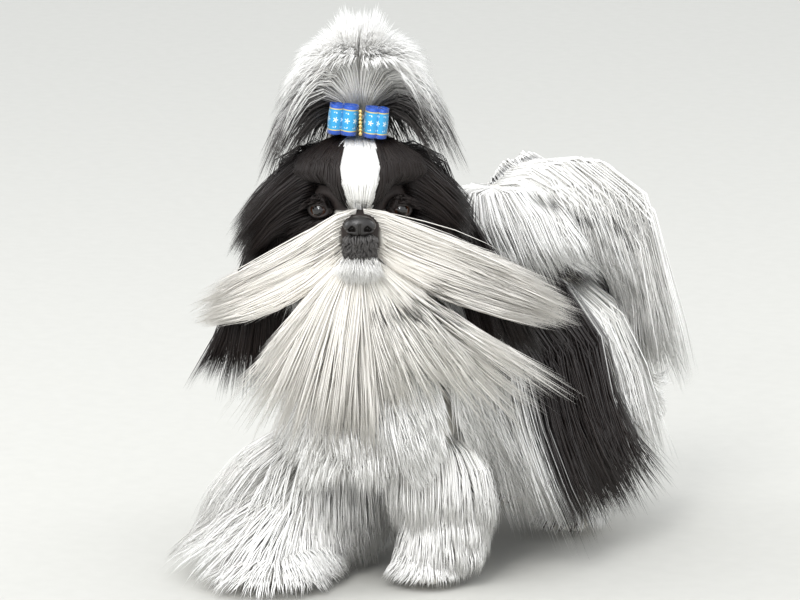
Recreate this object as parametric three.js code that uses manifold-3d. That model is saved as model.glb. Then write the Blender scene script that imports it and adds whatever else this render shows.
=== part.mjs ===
// A shih tzu in full show coat at a slow trot, life size, as a still museum model.
// Millimetres, +Z up. The dog faces -Y, its left side is +X, and its feet stand on Z = 0.
// Every lock of the coat starts sunk in its own body part and follows a path that leaves
// the skin, hangs, and flicks out at the tip, always lying outside the flesh beneath it.
import * as THREE from "three";
import { ConvexGeometry } from "three/addons/geometries/ConvexGeometry.js";
import { mergeVertices } from "three/addons/utils/BufferGeometryUtils.js";
import Module from "manifold-3d";

const wasm = await Module();
wasm.setup();

// Driving sizes.
const BACK_HEIGHT = 244; // top of the flesh over the ribs
const RIB_RADIUS = 58;
const RIB_Z = BACK_HEIGHT - RIB_RADIUS;
const FRONT_Y = -25; // middle of the forequarters
const REAR_Y = 205; // middle of the hindquarters
const STANCE = 50; // each foot's distance from the middle line
const HEAD_AT = [6, -75, 327]; // between the eyes' level and the skull's middle
const HEAD_TURN = 33; // degrees to the dog's left
const EYE_APART = 32.5; // each eye's distance from the face's middle line
const EYE_RADIUS = 9.5;
const BAND_AT = [0, -16, 70]; // the topknot's rubber band, from the head's origin
const BAND_RADIUS = 9;
const TAIL_RADIUS = 9;
const GAP = 0.35; // left between parts that meet
const FLOOR_CLEAR = 3; // the lowest tips stay this far above the floor
const SINK = 8; // how deep a lock's root lies in the flesh
const CORE_SINK = 3; // a core lies this far under the locks that it carries
const SEED = 7;
const TOLERANCE = 0.05; // joins drop edges shorter than this
const LOCK_THICK = 3.6; // at the root; half of it near the tip

const V = (x, y, z) => new THREE.Vector3(x, y, z);
const DOWN = V(0, 0, -1);
const lerp = THREE.MathUtils.lerp;
const rad = THREE.MathUtils.degToRad;

// The head's own frame: its face looks along its -Y, turned from the body's.
const HEAD = new THREE.Matrix4()
  .makeRotationZ(rad(HEAD_TURN))
  .setPosition(...HEAD_AT);
const onHead = (x, y, z) => V(x, y, z).applyMatrix4(HEAD);
const headWay = (x, y, z) => V(x, y, z).transformDirection(HEAD);

// A seeded draw from -1 to 1.
let drawState = SEED;
function draw() {
  drawState = (drawState * 1664525 + 1013904223) % 4294967296;
  return (drawState / 4294967296) * 2 - 1;
}

// Flesh: rounded masses, each stretched from one middle to another.
const mass = (from, to, radii, squash = [1, 1, 1]) => ({ from, to, radii, squash });
const side = (sign, x, y, z) => V(sign * x, y, z);

const RIBS = mass(V(0, FRONT_Y, RIB_Z), V(0, 110, RIB_Z), [56, RIB_RADIUS]);
const LOIN = mass(V(0, 100, RIB_Z + 2), V(0, REAR_Y, RIB_Z + 6), [57, 54]);
const FORECHEST = mass(V(0, -58, 172), V(0, -30, 205), [36, 44]);
const NECK = mass(V(0, -24, 246), onHead(0, 20, -16), [41, 36]);
const SKULL = mass(onHead(0, 0, 8), onHead(0, 0, 8), [49, 49], [1, 1, 0.94]);
const MUZZLE = mass(onHead(0, -34, -13), onHead(0, -50, -13), [24, 19], [1.1, 1, 0.86]);
const JAW = mass(onHead(0, -26, -31), onHead(0, -48, -31), [20, 15], [1.05, 1, 0.7]);
const lipPad = (s) =>
  mass(onHead(s * 18, -45, -21), onHead(s * 23, -39, -25), [13, 13]);

// The right fore and left hind feet reach forward, as in a trot.
const FORE_FOOT_Y = { left: -34, right: -112 };
const HIND_FOOT_Y = { left: 196, right: 262 };
const SIGN = { left: 1, right: -1 };

const paw = (from, to) => mass(from, to, [16, 19], [1.15, 1.15, 0.9]);

function foreLeg(name) {
  const s = SIGN[name];
  const foot = FORE_FOOT_Y[name];
  const wrist = side(s, STANCE, lerp(FRONT_Y, foot, 0.72), 46);
  return {
    upper: mass(side(s, 40, FRONT_Y - 8, 150), side(s, STANCE - 2, FRONT_Y + 6, 104), [30, 22]),
    lower: mass(side(s, STANCE - 2, FRONT_Y + 6, 104), wrist, [21, 17]),
    paw: paw(wrist.clone().add(V(0, -2, -18)), side(s, STANCE + 2, foot - 6, 15)),
  };
}

function hindLeg(name) {
  const s = SIGN[name];
  const foot = HIND_FOOT_Y[name];
  const knee = side(s, STANCE, lerp(REAR_Y, foot, 0.3) - 18, 108);
  const hock = side(s, STANCE, lerp(REAR_Y, foot, 0.8) + 22, 56);
  return {
    upper: mass(side(s, 36, REAR_Y - 8, 168), knee, [40, 27]),
    lower: mass(knee, hock, [24, 16]),
    paw: paw(hock.clone().add(V(0, -8, -22)), side(s, STANCE + 2, foot - 4, 15)),
  };
}

const FORE = { left: foreLeg("left"), right: foreLeg("right") };
const HIND = { left: hindLeg("left"), right: hindLeg("right") };

const TAIL_LINE = new THREE.CatmullRomCurve3([
  V(0, 224, 214),
  V(2, 256, 244),
  V(6, 256, 280),
  V(10, 222, 311),
  V(12, 170, 318),
  V(12, 122, 306),
]);

const TAIL_MASSES = TAIL_LINE.getPoints(5)
  .slice(1)
  .map((to, i) => mass(TAIL_LINE.getPoint(i / 5), to, [TAIL_RADIUS, TAIL_RADIUS]));

const TRUNK = [RIBS, LOIN];

const FLESH = [
  RIBS,
  LOIN,
  FORECHEST,
  NECK,
  SKULL,
  MUZZLE,
  JAW,
  ...TAIL_MASSES,
  ...["left", "right"].flatMap((n) => [...Object.values(FORE[n]), ...Object.values(HIND[n])]),
];

// How far a point lies outside one mass, nearly, and outside all the flesh, smoothly joined.
function outside(p, m) {
  const along = m.to.clone().sub(m.from);
  const reach = along.lengthSq();
  const t = reach ? THREE.MathUtils.clamp(p.clone().sub(m.from).dot(along) / reach, 0, 1) : 0;
  const near = m.from.clone().addScaledVector(along, t);
  const off = p.clone().sub(near).divide(V(...m.squash));
  return (off.length() - lerp(m.radii[0], m.radii[1], t)) * Math.min(...m.squash);
}

const BLEND = 10;
function clearOf(p) {
  let sum = 0;
  for (const m of FLESH) sum += Math.exp(-outside(p, m) / BLEND);
  return -BLEND * Math.log(sum);
}

const STEP = 1.5;
function wayOut(p) {
  const slope = (d) => clearOf(p.clone().add(d)) - clearOf(p.clone().sub(d));
  return V(slope(V(STEP, 0, 0)), slope(V(0, STEP, 0)), slope(V(0, 0, STEP))).normalize();
}

// The point where a ray from inside some masses comes out of them.
function surfaceFrom(origin, way, masses) {
  const p = origin.clone();
  const w = way.clone().normalize();
  for (let i = 0; i < 40; i++) {
    const d = Math.min(...masses.map((m) => outside(p, m)));
    if (d > -0.2) break;
    p.addScaledVector(w, Math.max(-d * 0.8, 0.5));
  }
  return p;
}

// A lock's middle line and the way its broad face looks, from its root to its tip.
// `lie` is how far it keeps off the flesh beneath, near its root and at its tip.
function lockLine({ root, lead, hang, flick, length, lie, layer, sink, steps }) {
  const p = root.clone();
  const out = wayOut(p);
  const points = [p.clone().addScaledVector(lead, -sink / 2).addScaledVector(out, -sink)];
  const outs = [out];
  for (let i = 1; i <= steps; i++) {
    const t = (i - 0.5) / steps;
    const way = t < 0.5 ? lead.clone().lerp(hang, t * 2) : hang.clone().lerp(flick, t * 2 - 1);
    p.addScaledVector(way.normalize(), length / steps);
    const clear = Math.min(1, i / 2) * lerp(lie[0], lie[1], i / steps);
    for (let pass = 0; pass < 3; pass++) {
      const short = clear - clearOf(p);
      if (short > 0) p.addScaledVector(wayOut(p), short);
    }
    p.z = Math.max(p.z, FLOOR_CLEAR + (steps - i) * 3);
    const off = wayOut(p);
    off.addScaledVector(way, -way.dot(off)).normalize();
    const lifted = p.clone().addScaledVector(off, layer);
    lifted.z = Math.max(lifted.z, FLOOR_CLEAR);
    points.push(lifted);
    outs.push(off);
  }
  return { points, outs };
}

const LAYER = LOCK_THICK + 0.5;

// Locks in rows: u runs from -1 to 1 across a row and v from 0 to 1 down the rows.
// Each value under `grow` is a constant, or a function of u and v. Every other lock lies
// one layer higher than its neighbours, and each row two layers higher than the row below,
// so that they overlap without crossing.
function rowsOfLocks({ rows = 1, columns, width, ...shape }) {
  const { steps = 4, sink = SINK, rootShare = 0.5, widest = 0.5, ...grow } = shape;
  const locks = [];
  for (let row = 0; row < rows; row++) {
    const v = rows > 1 ? row / (rows - 1) : 0;
    for (let column = 0; column < columns; column++) {
      const shift = rows > 1 ? (row % 2) * 0.5 - 0.25 : 0;
      const u = ((column + 0.5 + shift + draw() * 0.08) / columns) * 2 - 1;
      const at = (value) => (typeof value === "function" ? value(u, v) : value);
      const line = lockLine({
        root: at(grow.root),
        lead: at(grow.lead).clone().normalize(),
        hang: at(grow.hang).clone().normalize(),
        flick: at(grow.flick).clone().normalize(),
        length: at(grow.length) * (1 + draw() * 0.06),
        lie: at(grow.lie),
        layer: ((rows - 1 - row) * 2 + (column % 2)) * LAYER,
        sink,
        steps,
      });
      locks.push({ ...line, width: width * (1 + draw() * 0.08), rootShare, widest });
    }
  }
  return locks;
}

// Solids.
function solidOf(geometry) {
  geometry.deleteAttribute("normal");
  geometry.deleteAttribute("uv");
  const merged = mergeVertices(geometry, 1e-3);
  return new wasm.Manifold(
    new wasm.Mesh({
      numProp: 3,
      vertProperties: merged.attributes.position.array,
      triVerts: new Uint32Array(merged.index.array),
      tolerance: TOLERANCE,
    }),
  );
}

const union = (solids) => (solids.length > 1 ? wasm.Manifold.union(solids) : solids[0]);

function largest(solid) {
  return solid.decompose().reduce((a, b) => (b.volume() > a.volume() ? b : a));
}

// Moves every vertex of a geometry through a function.
function reshape(geometry, move) {
  const position = geometry.attributes.position;
  const p = V(0, 0, 0);
  for (let i = 0; i < position.count; i++) {
    p.fromBufferAttribute(position, i);
    const q = move(p);
    position.setXYZ(i, q.x, q.y, q.z);
  }
  return geometry;
}

// A mass as a solid: a ball drawn out along its line.
function massSolid(m, swell = 0, around = 14, down = 10) {
  const along = m.to.clone().sub(m.from);
  const axis = along.length() > 0.01 ? along.clone().normalize() : V(0, 0, 1);
  const turn = new THREE.Quaternion().setFromUnitVectors(V(0, 1, 0), axis);
  const ball = new THREE.SphereGeometry(1, around, down);
  return solidOf(
    reshape(ball, (n) => {
      const end = THREE.MathUtils.smoothstep(n.y, -0.45, 0.45);
      const radius = lerp(m.radii[0], m.radii[1], end);
      const off = n.clone().applyQuaternion(turn).multiplyScalar(radius).multiply(V(...m.squash));
      const out = n.clone().applyQuaternion(turn).multiplyScalar(swell);
      return m.from.clone().lerp(m.to, end).add(off).add(out);
    }),
  );
}

// How wide a lock is along its length, as a share of its widest.
const lockShare = (t, rootShare, widest) =>
  lerp(rootShare, 1, Math.sin((Math.PI / 2) * Math.min(t / widest, 1))) * Math.sqrt(1 - t ** 3);

// A lock as a solid: a flat blade of three sides, ridged outside, that ends in a point.
// It bends but doesn't twist: its breadth lies along one line, square to its bends.
function lockSolid(lock, swell = 0) {
  const { points, outs, width, rootShare, widest } = lock;
  const steps = points.length - 1;
  const runs = points.map((p, i) => {
    const next = points[Math.min(steps, i + 1)];
    return next.clone().sub(points[Math.max(0, i - 1)]).normalize();
  });
  const breadth = V(0, 0, 0);
  runs.forEach((along, i) => breadth.add(along.clone().cross(outs[i])));
  const blade = new THREE.ConeGeometry(1, 1, 3, steps);
  return solidOf(
    reshape(blade, (n) => {
      const i = Math.round((n.y + 0.5) * steps);
      const t = i / steps;
      const across = breadth.clone().addScaledVector(runs[i], -breadth.dot(runs[i])).normalize();
      const out = across.clone().cross(runs[i]);
      const end = i === 0 ? -swell : i === steps ? swell * 3 : 0;
      const middle = points[i].clone().addScaledVector(runs[i], end);
      if (i === steps) return middle;
      const half = (width / 2) * lockShare(t, rootShare, widest);
      const high = LOCK_THICK * (1 - 0.5 * t);
      // The thin edges need more room than the ridge for the swollen lock to hold the plain one.
      const wide = half + swell * (1 + (1.2 * half) / high);
      return middle
        .addScaledVector(across, (n.x / (1 - t) / 0.866) * wide)
        .addScaledVector(out, ((n.z / (1 - t) + 0.5) / 1.5) * (high + swell * 2) - swell);
    }),
  );
}

// The dense coat round the roots of a part's locks: it wraps the inner part of each.
function coreOf(locks, share, swell) {
  const inner = locks.flatMap(({ points, outs }) => {
    const near = points.slice(0, Math.round(points.length * share));
    return near.map((p, i) => p.clone().addScaledVector(outs[i], -CORE_SINK));
  });
  const around = [-swell, swell].flatMap((d) => [V(d, 0, 0), V(0, d, 0), V(0, 0, d)]);
  const points = swell ? inner.flatMap((p) => around.map((d) => p.clone().add(d))) : inner;
  return solidOf(new ConvexGeometry(points));
}

// The coat, part by part. `s` is 1 on the dog's left and -1 on its right.
// A bearing on the ground: 0 looks back along the body, 90 to the left, 180 ahead.
const bearing = (degrees, rise = 0) => V(Math.sin(rad(degrees)), Math.cos(rad(degrees)), rise);
// The same from the head, whose 180 is where its face looks.
const headBearing = (degrees, rise = 0) => V(...bearing(degrees, rise)).transformDirection(HEAD);

// From the parting on the spine, down over the ribs to the floor.
const sideCoat = (s) =>
  rowsOfLocks({
    rows: 2,
    columns: 5,
    width: 47,
    root: (u, v) => {
      const turn = rad(lerp(8, 70, v));
      const way = V(s * Math.sin(turn), 0, Math.cos(turn));
      return surfaceFrom(V(0, lerp(14, 158, (u + 1) / 2), RIB_Z), way, TRUNK);
    },
    lead: (u, v) => V(s * lerp(1, 0.3, v), 0, lerp(-0.1, -1, v)),
    hang: (u) => V(s * 0.24, 0.06 + 0.06 * u, -1),
    flick: (u) => V(s * 0.34, 0.24 + 0.1 * u, -0.85),
    length: (u, v) => lerp(288, 205, v),
    lie: [4, 6],
  });

// Shorter coat on the shoulders, which ends where the fore legs' coat begins.
const shoulderCoat = (s) =>
  rowsOfLocks({
    rows: 2,
    columns: 2,
    width: 40,
    steps: 3,
    root: (u, v) => {
      const turn = rad(lerp(30, 80, v));
      const way = V(s * Math.sin(turn), 0, Math.cos(turn));
      return surfaceFrom(V(0, lerp(-34, 8, (u + 1) / 2), RIB_Z), way, TRUNK);
    },
    lead: (u, v) => V(s * lerp(0.8, 0.3, v), 0, -1),
    hang: V(s * 0.3, 0.15, -1),
    flick: V(s * 0.35, 0.15, -0.8),
    length: (u, v) => lerp(110, 84, v),
    lie: [4, 8],
  });

const rumpCoat = () =>
  rowsOfLocks({
    rows: 2,
    columns: 5,
    width: 64,
    root: (u, v) => surfaceFrom(V(0, REAR_Y - 14, RIB_Z), bearing(u * 100, lerp(0.45, -0.35, v)), TRUNK),
    lead: (u, v) => bearing(u * 100, -0.6 - v),
    hang: (u) => bearing(u * 100).multiplyScalar(0.24).add(DOWN),
    flick: (u) => bearing(u * 80).multiplyScalar(0.34).add(DOWN),
    length: (u, v) => lerp(200, 128, v),
    lie: [4, 7],
  });

const chestCoat = () =>
  rowsOfLocks({
    rows: 2,
    columns: 5,
    width: 45,
    steps: 3,
    root: (u, v) =>
      surfaceFrom(V(0, -42, 192), bearing(180 - u * 76, lerp(0.25, -0.6, v)), [RIBS, FORECHEST]),
    lead: (u, v) => bearing(180 - u * 76, -0.8 - v),
    hang: (u) => bearing(180 - u * 76).multiplyScalar(0.28).add(DOWN),
    flick: (u) => bearing(180 - u * 90).multiplyScalar(0.4).add(DOWN),
    length: (u, v) => lerp(104, 80, v),
    lie: [4, 8],
  });

// The neck's coat leaves the throat to the beard and falls over the shoulders.
const neckCoat = () => {
  const facing = (u) => u * 100 - 10;
  return rowsOfLocks({
    rows: 2,
    columns: 4,
    steps: 3,
    rootShare: 0.15,
    widest: 0.7,
    width: 64,
    root: (u, v) => {
      const from = NECK.to.clone().lerp(NECK.from, lerp(0.05, 0.6, v));
      return surfaceFrom(from, bearing(facing(u), 0.2), [NECK]);
    },
    lead: (u) => bearing(facing(u), -0.9),
    hang: (u) => bearing(facing(u)).multiplyScalar(0.4).add(V(0, 0.1, -1)),
    flick: (u) => bearing(facing(u)).multiplyScalar(0.55).add(V(0, 0.15, -1)),
    length: (u, v) => lerp(96, 104, v),
    lie: (u, v) => [6, lerp(10, 30, v)],
  });
};

// The crown behind the topknot and the nape.
const crownCoat = () =>
  rowsOfLocks({
    columns: 3,
    width: 66,
    root: (u) => surfaceFrom(onHead(0, 2, 8), headBearing(u * 76, 0.45), [SKULL]),
    lead: (u) => headBearing(u * 76, -0.4),
    hang: (u) => headBearing(u * 76).multiplyScalar(0.4).add(DOWN),
    flick: (u) => headBearing(u * 70).multiplyScalar(0.5).add(DOWN),
    length: 112,
    lie: [12, 30],
  });

// Hair combed up from the brow to the band, swelling forward on the way.
const BROW_LOCKS = 6;
function browLocks() {
  return Array.from({ length: BROW_LOCKS }, (_, i) => {
    const u = (i / (BROW_LOCKS - 1)) * 2 - 1;
    const steps = 4;
    const way = headWay(u * 0.95, -0.72, -0.08 + 0.42 * Math.abs(u));
    const root = surfaceFrom(SKULL.from, way, [SKULL]);
    const swell = onHead(u * 50, -66 + 34 * Math.abs(u), 43);
    const tip = onHead(BAND_AT[0] + u * 7, BAND_AT[1] - 4 + Math.abs(u) * 3, BAND_AT[2] - 11);
    const points = new THREE.QuadraticBezierCurve3(root, swell, tip).getPoints(steps);
    const outs = points.map((p) => wayOut(p));
    points.forEach((p, k) => p.addScaledVector(outs[k], k === 0 ? -SINK : k < steps ? (i % 2) * LAYER : 0));
    return { points, outs, width: 23, rootShare: 0.8, widest: 0.5 };
  });
}

const EAR_SWEEP = {
  left: { lead: [0.62, 0.1, -0.78], hang: [0.5, 0.2, -0.84], flick: [0.62, 0.3, -0.72], length: 205 },
  right: { lead: [-0.76, 0, -0.64], hang: [-0.28, 0, -0.96], flick: [-0.6, 0.05, -0.7], length: 200 },
};
const earCoat = (name) =>
  rowsOfLocks({
    rows: 2,
    columns: 3,
    width: 38,
    sink: 2,
    rootShare: 0.2,
    widest: 0.7,
    root: (u, v) => earPoint(SIGN[name], u * 0.7, lerp(-0.5, 0.6, v), EAR_THICK * 0.7),
    lead: headWay(...EAR_SWEEP[name].lead),
    hang: headWay(...EAR_SWEEP[name].hang),
    flick: headWay(...EAR_SWEEP[name].flick),
    length: (u, v) => EAR_SWEEP[name].length * lerp(1, 0.78, v),
    lie: [12, 44],
  });

const MOUSTACHE_SWEEP = {
  left: { lead: [0.86, -0.42, -0.16], hang: [0.94, 0, -0.3], flick: [0.86, 0.2, -0.42], length: 186 },
  right: { lead: [-0.84, -0.42, -0.3], hang: [-0.9, 0, -0.52], flick: [-0.93, 0.12, -0.3], length: 120 },
};
const moustacheCoat = (name) =>
  rowsOfLocks({
    rows: 2,
    columns: 4,
    width: 20,
    rootShare: 0.2,
    widest: 0.75,
    sink: 5,
    root: (u, v) => {
      const pad = lipPad(SIGN[name]);
      return surfaceFrom(pad.from, headWay(SIGN[name] * (0.6 + 0.3 * v), -0.7 + 0.5 * v, -0.8 * u), [pad]);
    },
    lead: (u) => headWay(...MOUSTACHE_SWEEP[name].lead).add(V(0, 0, -0.24 * u)),
    hang: (u) => headWay(...MOUSTACHE_SWEEP[name].hang).add(V(0, 0, -0.12 * u)),
    flick: headWay(...MOUSTACHE_SWEEP[name].flick),
    length: (u, v) => MOUSTACHE_SWEEP[name].length * lerp(1, 0.84, v),
    lie: [8, 54],
  });

const beardCoat = () =>
  rowsOfLocks({
    rows: 2,
    columns: 5,
    width: 36,
    rootShare: 0.1,
    widest: 0.85,
    sink: 5,
    root: (u, v) => surfaceFrom(JAW.to, headWay(u * 0.9, lerp(-0.6, 0.5, v), -0.9), [JAW]),
    lead: (u) => headWay(u * 0.6, -0.4, -0.8),
    hang: (u) => headWay(u * 0.85 + 0.05, -0.1, -0.85),
    flick: (u) => headWay(u * 1.2 + 0.1, 0.05, -0.7),
    length: (u, v) => lerp(128, 190, Math.abs(u)) * lerp(1, 0.8, v),
    lie: [5, 36],
  });

// The topknot opens like a fountain: upright in the middle, then arching over, and last
// falling past the sides and back of the head. It stays open in front.
const overBand = (rise) => onHead(BAND_AT[0], BAND_AT[1], BAND_AT[2] + rise);
const topknotTier = ({ spread, rises, ...tier }) =>
  rowsOfLocks({
    ...tier,
    columns: 6,
    rootShare: 0.1,
    widest: 0.9,
    sink: 3,
    root: (u) => overBand(12).addScaledVector(headBearing(u * spread), 5),
    lead: (u) => headBearing(u * spread, rises[0]),
    hang: (u) => headBearing(u * spread, rises[1]),
    flick: (u) => headBearing(u * spread, rises[2]),
  });
const topknotCoat = () => [
  ...topknotTier({ spread: 180, rises: [6, 4, 1.5], length: 84, width: 38, lie: [14, 20], steps: 3 }),
  ...topknotTier({ spread: 180, rises: [3, 1.2, -4], length: 88, width: 60, lie: [14, 24] }),
  ...topknotTier({ spread: 122, rises: [2.6, -2, -5], length: 138, width: 60, lie: [14, 28] }),
];

// The tail curls over the back; its plume parts to both sides and hangs behind the hips.
const tailSides = () =>
  [-1, 1].flatMap((s) =>
    rowsOfLocks({
      rows: 2,
      columns: 4,
      width: 50,
      rootShare: 0.15,
      widest: 0.7,
      sink: 3,
      root: (u, v) => {
        const at = TAIL_LINE.getPoint(lerp(0.5, 0.99, (u + 1) / 2));
        return at.add(V(s * lerp(3, 8, v), 0, lerp(6, 0, v)));
      },
      // The locks nearest the tail's tip rise first; those nearest its root fall at once.
      lead: (u, v) => V(s * (0.5 + 0.2 * v), 0.05, lerp(-0.4, 0.45, (u + 1) / 2) - 0.5 * v),
      hang: (u, v) => V(s * lerp(0.26, 0.12, v), 0.05, -0.98),
      flick: V(s * 0.18, 0.12, -0.98),
      length: (u, v) => lerp(s > 0 ? 225 : 200, 150, v),
      lie: [4, 16],
    }),
  );

// Behind, where the tail rises from the rump, its coat falls straight back and down.
const tailBack = () =>
  rowsOfLocks({
    rows: 2,
    columns: 4,
    width: 54,
    rootShare: 0.15,
    widest: 0.7,
    sink: 3,
    root: (u, v) => TAIL_LINE.getPoint(lerp(0.42, 0.22, v)).add(V(u * 7, 6 - 2 * Math.abs(u), 0)),
    lead: (u, v) => V(u * 0.5, 0.5, lerp(-0.3, -0.8, v)),
    hang: (u) => V(u * 0.24, 0.08, -1),
    flick: (u) => V(u * 0.4, 0.2, -1),
    length: (u, v) => lerp(215, 176, v),
    lie: [4, 12],
  });

// Leg furnishings grow all round the leg. `stand` is how far they leave it at first,
// `flare` how far they swing out below and `tuck` how far their tips do, so that one
// leg's coat fans out and the other's hangs round. `from` is where on the leg they start,
// and `lengths` are those of the top row and the bottom one.
const HIND_STYLE = {
  rows: 1, columns: 4, width: 46, lengths: [80, 80], from: 0.4, stand: 0.5, flare: 0.1, tuck: 0.1,
};
const LEG_STYLE = {
  fore_left: {
    rows: 1, columns: 6, width: 64, lengths: [100, 100], from: 0.15, stand: 1.4, flare: 0.5, tuck: -0.6,
  },
  fore_right: {
    rows: 2, columns: 5, width: 60, lengths: [132, 76], from: 0, stand: 1.8, flare: 1.2, tuck: 0.9,
  },
  hind_left: HIND_STYLE,
  hind_right: HIND_STYLE,
};

function legCoat(leg, s, { stand, flare, tuck, from, lengths, ...style }) {
  const facing = (u) => 180 + u * 180;
  // The inner side of a leg has less room, so its coat hangs closer.
  const room = (u) => 0.6 + 0.4 * Math.sin(rad(facing(u))) * s;
  const way = (u, k) => bearing(facing(u)).multiplyScalar(k * room(u));
  return rowsOfLocks({
    ...style,
    steps: 3,
    rootShare: 0.15,
    widest: 0.7,
    root: (u, v) => {
      const inside = leg.upper.to.clone().lerp(leg.lower.to, lerp(from, 0.8, v));
      return surfaceFrom(inside, bearing(facing(u)), [leg.upper, leg.lower]);
    },
    lead: (u) => way(u, stand).add(V(0, 0, -0.6)),
    hang: (u) => way(u, flare).add(DOWN),
    flick: (u) => way(u, tuck).add(V(0, 0, -0.8)),
    length: (u, v) => lerp(lengths[0], lengths[1], v),
    lie: [4, 4],
  });
}

// The head's features.

// A drop ear's flap: a thin plate, hollowed on the side towards the head.
const EAR_HALF_WIDTH = 21;
const EAR_HALF_HEIGHT = 36;
const EAR_THICK = 2.6;
const EAR_CUP = 6;
const EAR_AT = [53, 8, 2];
// `across` and `down` run from -1 to 1 over the flap and `through` over its thickness.
function earPoint(s, across, down, through) {
  const x = EAR_AT[0] + 9 * down + EAR_CUP * (1 - across * across) + through;
  const y = EAR_AT[1] + across * EAR_HALF_WIDTH * (1 - 0.25 * down);
  return onHead(s * x, y, EAR_AT[2] - down * EAR_HALF_HEIGHT);
}

function earFlap(s, swell) {
  const flap = new THREE.SphereGeometry(1, 12, 8);
  return solidOf(
    reshape(flap, (n) => {
      const across = n.y * s * (1 + swell / EAR_HALF_WIDTH);
      const down = -n.z * (1 + swell / EAR_HALF_HEIGHT);
      return earPoint(s, across, down, n.x * (EAR_THICK + swell));
    }),
  );
}

const eyeMiddle = (s) => onHead(s * EYE_APART, -34, 0);
const eyeBall = (s, swell) =>
  solidOf(new THREE.SphereGeometry(EYE_RADIUS + swell, 12, 8).translate(...eyeMiddle(s).toArray()));

// A lid is a thick ring round the eye, set back so that the eye bulges through it.
function lidRing(s) {
  const ring = new THREE.TorusGeometry(EYE_RADIUS * 0.84, 2.6, 4, 9);
  ring.scale(1.06, 0.86, 1);
  ring.rotateX(Math.PI / 2);
  ring.rotateZ(rad(s * 24));
  ring.translate(s * (EYE_APART + 1.2), -39.4, 0);
  ring.applyMatrix4(HEAD);
  return solidOf(ring);
}

const NOSE_AT = [0, -67, -9];
const NOSE_RADII = [13.5, 7.5, 9];
function noseLeather(swell) {
  const pad = new THREE.SphereGeometry(1, 12, 8);
  const [wide, deep, high] = NOSE_RADII.map((radius) => radius + swell);
  reshape(pad, (n) => {
    const taper = 1 - 0.22 * Math.max(0, -n.z);
    return onHead(n.x * wide * taper, NOSE_AT[1] + n.y * deep, NOSE_AT[2] + n.z * high);
  });
  return solidOf(pad);
}

function nostril(s) {
  const hole = new THREE.SphereGeometry(1, 8, 6);
  hole.scale(3.1, 5, 2.5);
  hole.rotateY(rad(s * 32));
  hole.translate(s * 6.4, NOSE_AT[1] - NOSE_RADII[1], NOSE_AT[2] - 0.5);
  hole.applyMatrix4(HEAD);
  return solidOf(hole);
}

// The groove that runs from the nose down the upper lip.
function lipGroove() {
  const groove = new THREE.CylinderGeometry(0.9, 0.9, 20, 6);
  groove.translate(0, -68.6, -27);
  groove.applyMatrix4(HEAD);
  return solidOf(groove);
}

// The bow: ribbon loops that stand on edge, side by side, each side of a gold knot.
const RIBBON = 25;
const RIBBON_THICK = 0.9;
const LOOP_DEEP = 7.5; // half of each loop's depth, front to back
const BOW_AT = [0.5, -36, 74];
const BOW_LOOPS = {
  left: [{ x: 9.5, half: 6.4 }, { x: 17.5, half: 4.6 }],
  right: [{ x: -9.2, half: 6.6 }, { x: -20.6, half: 5.8 }],
};

function ribbonLoop({ x, half }, swell) {
  const outline = new THREE.Shape();
  outline.absellipse(0, 0, half + swell, LOOP_DEEP + swell, 0, Math.PI * 2);
  const inside = new THREE.Path();
  const wall = RIBBON_THICK + swell;
  inside.absellipse(0, 0, half - wall, LOOP_DEEP - wall, 0, Math.PI * 2, true);
  outline.holes.push(inside);
  const depth = RIBBON + swell * 2;
  const loop = new THREE.ExtrudeGeometry(outline, { depth, bevelEnabled: false, curveSegments: 3 });
  loop.translate(0, 0, -RIBBON / 2 - swell);
  loop.rotateY(rad(6));
  loop.translate(BOW_AT[0] + x, BOW_AT[1], BOW_AT[2] - x * 0.1);
  loop.applyMatrix4(HEAD);
  return solidOf(loop);
}

function ribbonWaist(s, swell) {
  const strap = new THREE.BoxGeometry(7 + swell * 2, 1.6 + swell * 2, 17 + swell * 2);
  strap.translate(BOW_AT[0] + s * 4.2, BOW_AT[1], BOW_AT[2]);
  strap.applyMatrix4(HEAD);
  return solidOf(strap);
}

function bowKnot(swell) {
  const knot = new THREE.CylinderGeometry(2.6 + swell, 2.6 + swell, 20 + swell * 2, 10);
  knot.rotateX(Math.PI / 2);
  knot.translate(BOW_AT[0], BOW_AT[1] - 3.4, BOW_AT[2]);
  knot.applyMatrix4(HEAD);
  return solidOf(knot);
}

function bandRing(swell) {
  const band = new THREE.TorusGeometry(BAND_RADIUS + 0.8, 2 + swell, 5, 12);
  band.translate(...BAND_AT);
  band.applyMatrix4(HEAD);
  return solidOf(band);
}

// The hair's stem through the band, below it on the skull and above it in the topknot.
const stem = (from, to, swell) =>
  massSolid(mass(overBand(from), overBand(to), [BAND_RADIUS - 0.6, BAND_RADIUS - 0.4]), swell, 10, 6);

// The trunk is modelled whole and parted by thin cuts: chest, two sides and rump.
const CHEST_CUT = -44;
const RUMP_CUT = 152;
const trunk = (swell) => union([RIBS, LOIN, FORECHEST].map((m) => massSolid(m, swell, 14, 8)));
function block(from, to) {
  const size = to.map((x, i) => x - from[i]);
  const box = new THREE.BoxGeometry(...size);
  box.translate(...from.map((x, i) => x + size[i] / 2));
  return solidOf(box);
}
const FAR = 400;
const CUT = GAP / 2;
const TRUNK_BLOCKS = {
  chest: [[-FAR, -FAR, 0], [FAR, CHEST_CUT - CUT, FAR]],
  side_left: [[CUT, CHEST_CUT + CUT, 0], [FAR, RUMP_CUT - CUT, FAR]],
  side_right: [[-FAR, CHEST_CUT + CUT, 0], [-CUT, RUMP_CUT - CUT, FAR]],
  rump: [[-FAR, RUMP_CUT + CUT, 0], [FAR, FAR, FAR]],
};
function trunkPart(name, swell) {
  const [from, to] = TRUNK_BLOCKS[name];
  return trunk(swell).intersect(block(from.map((x) => x - swell), to.map((x) => x + swell)));
}

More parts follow.
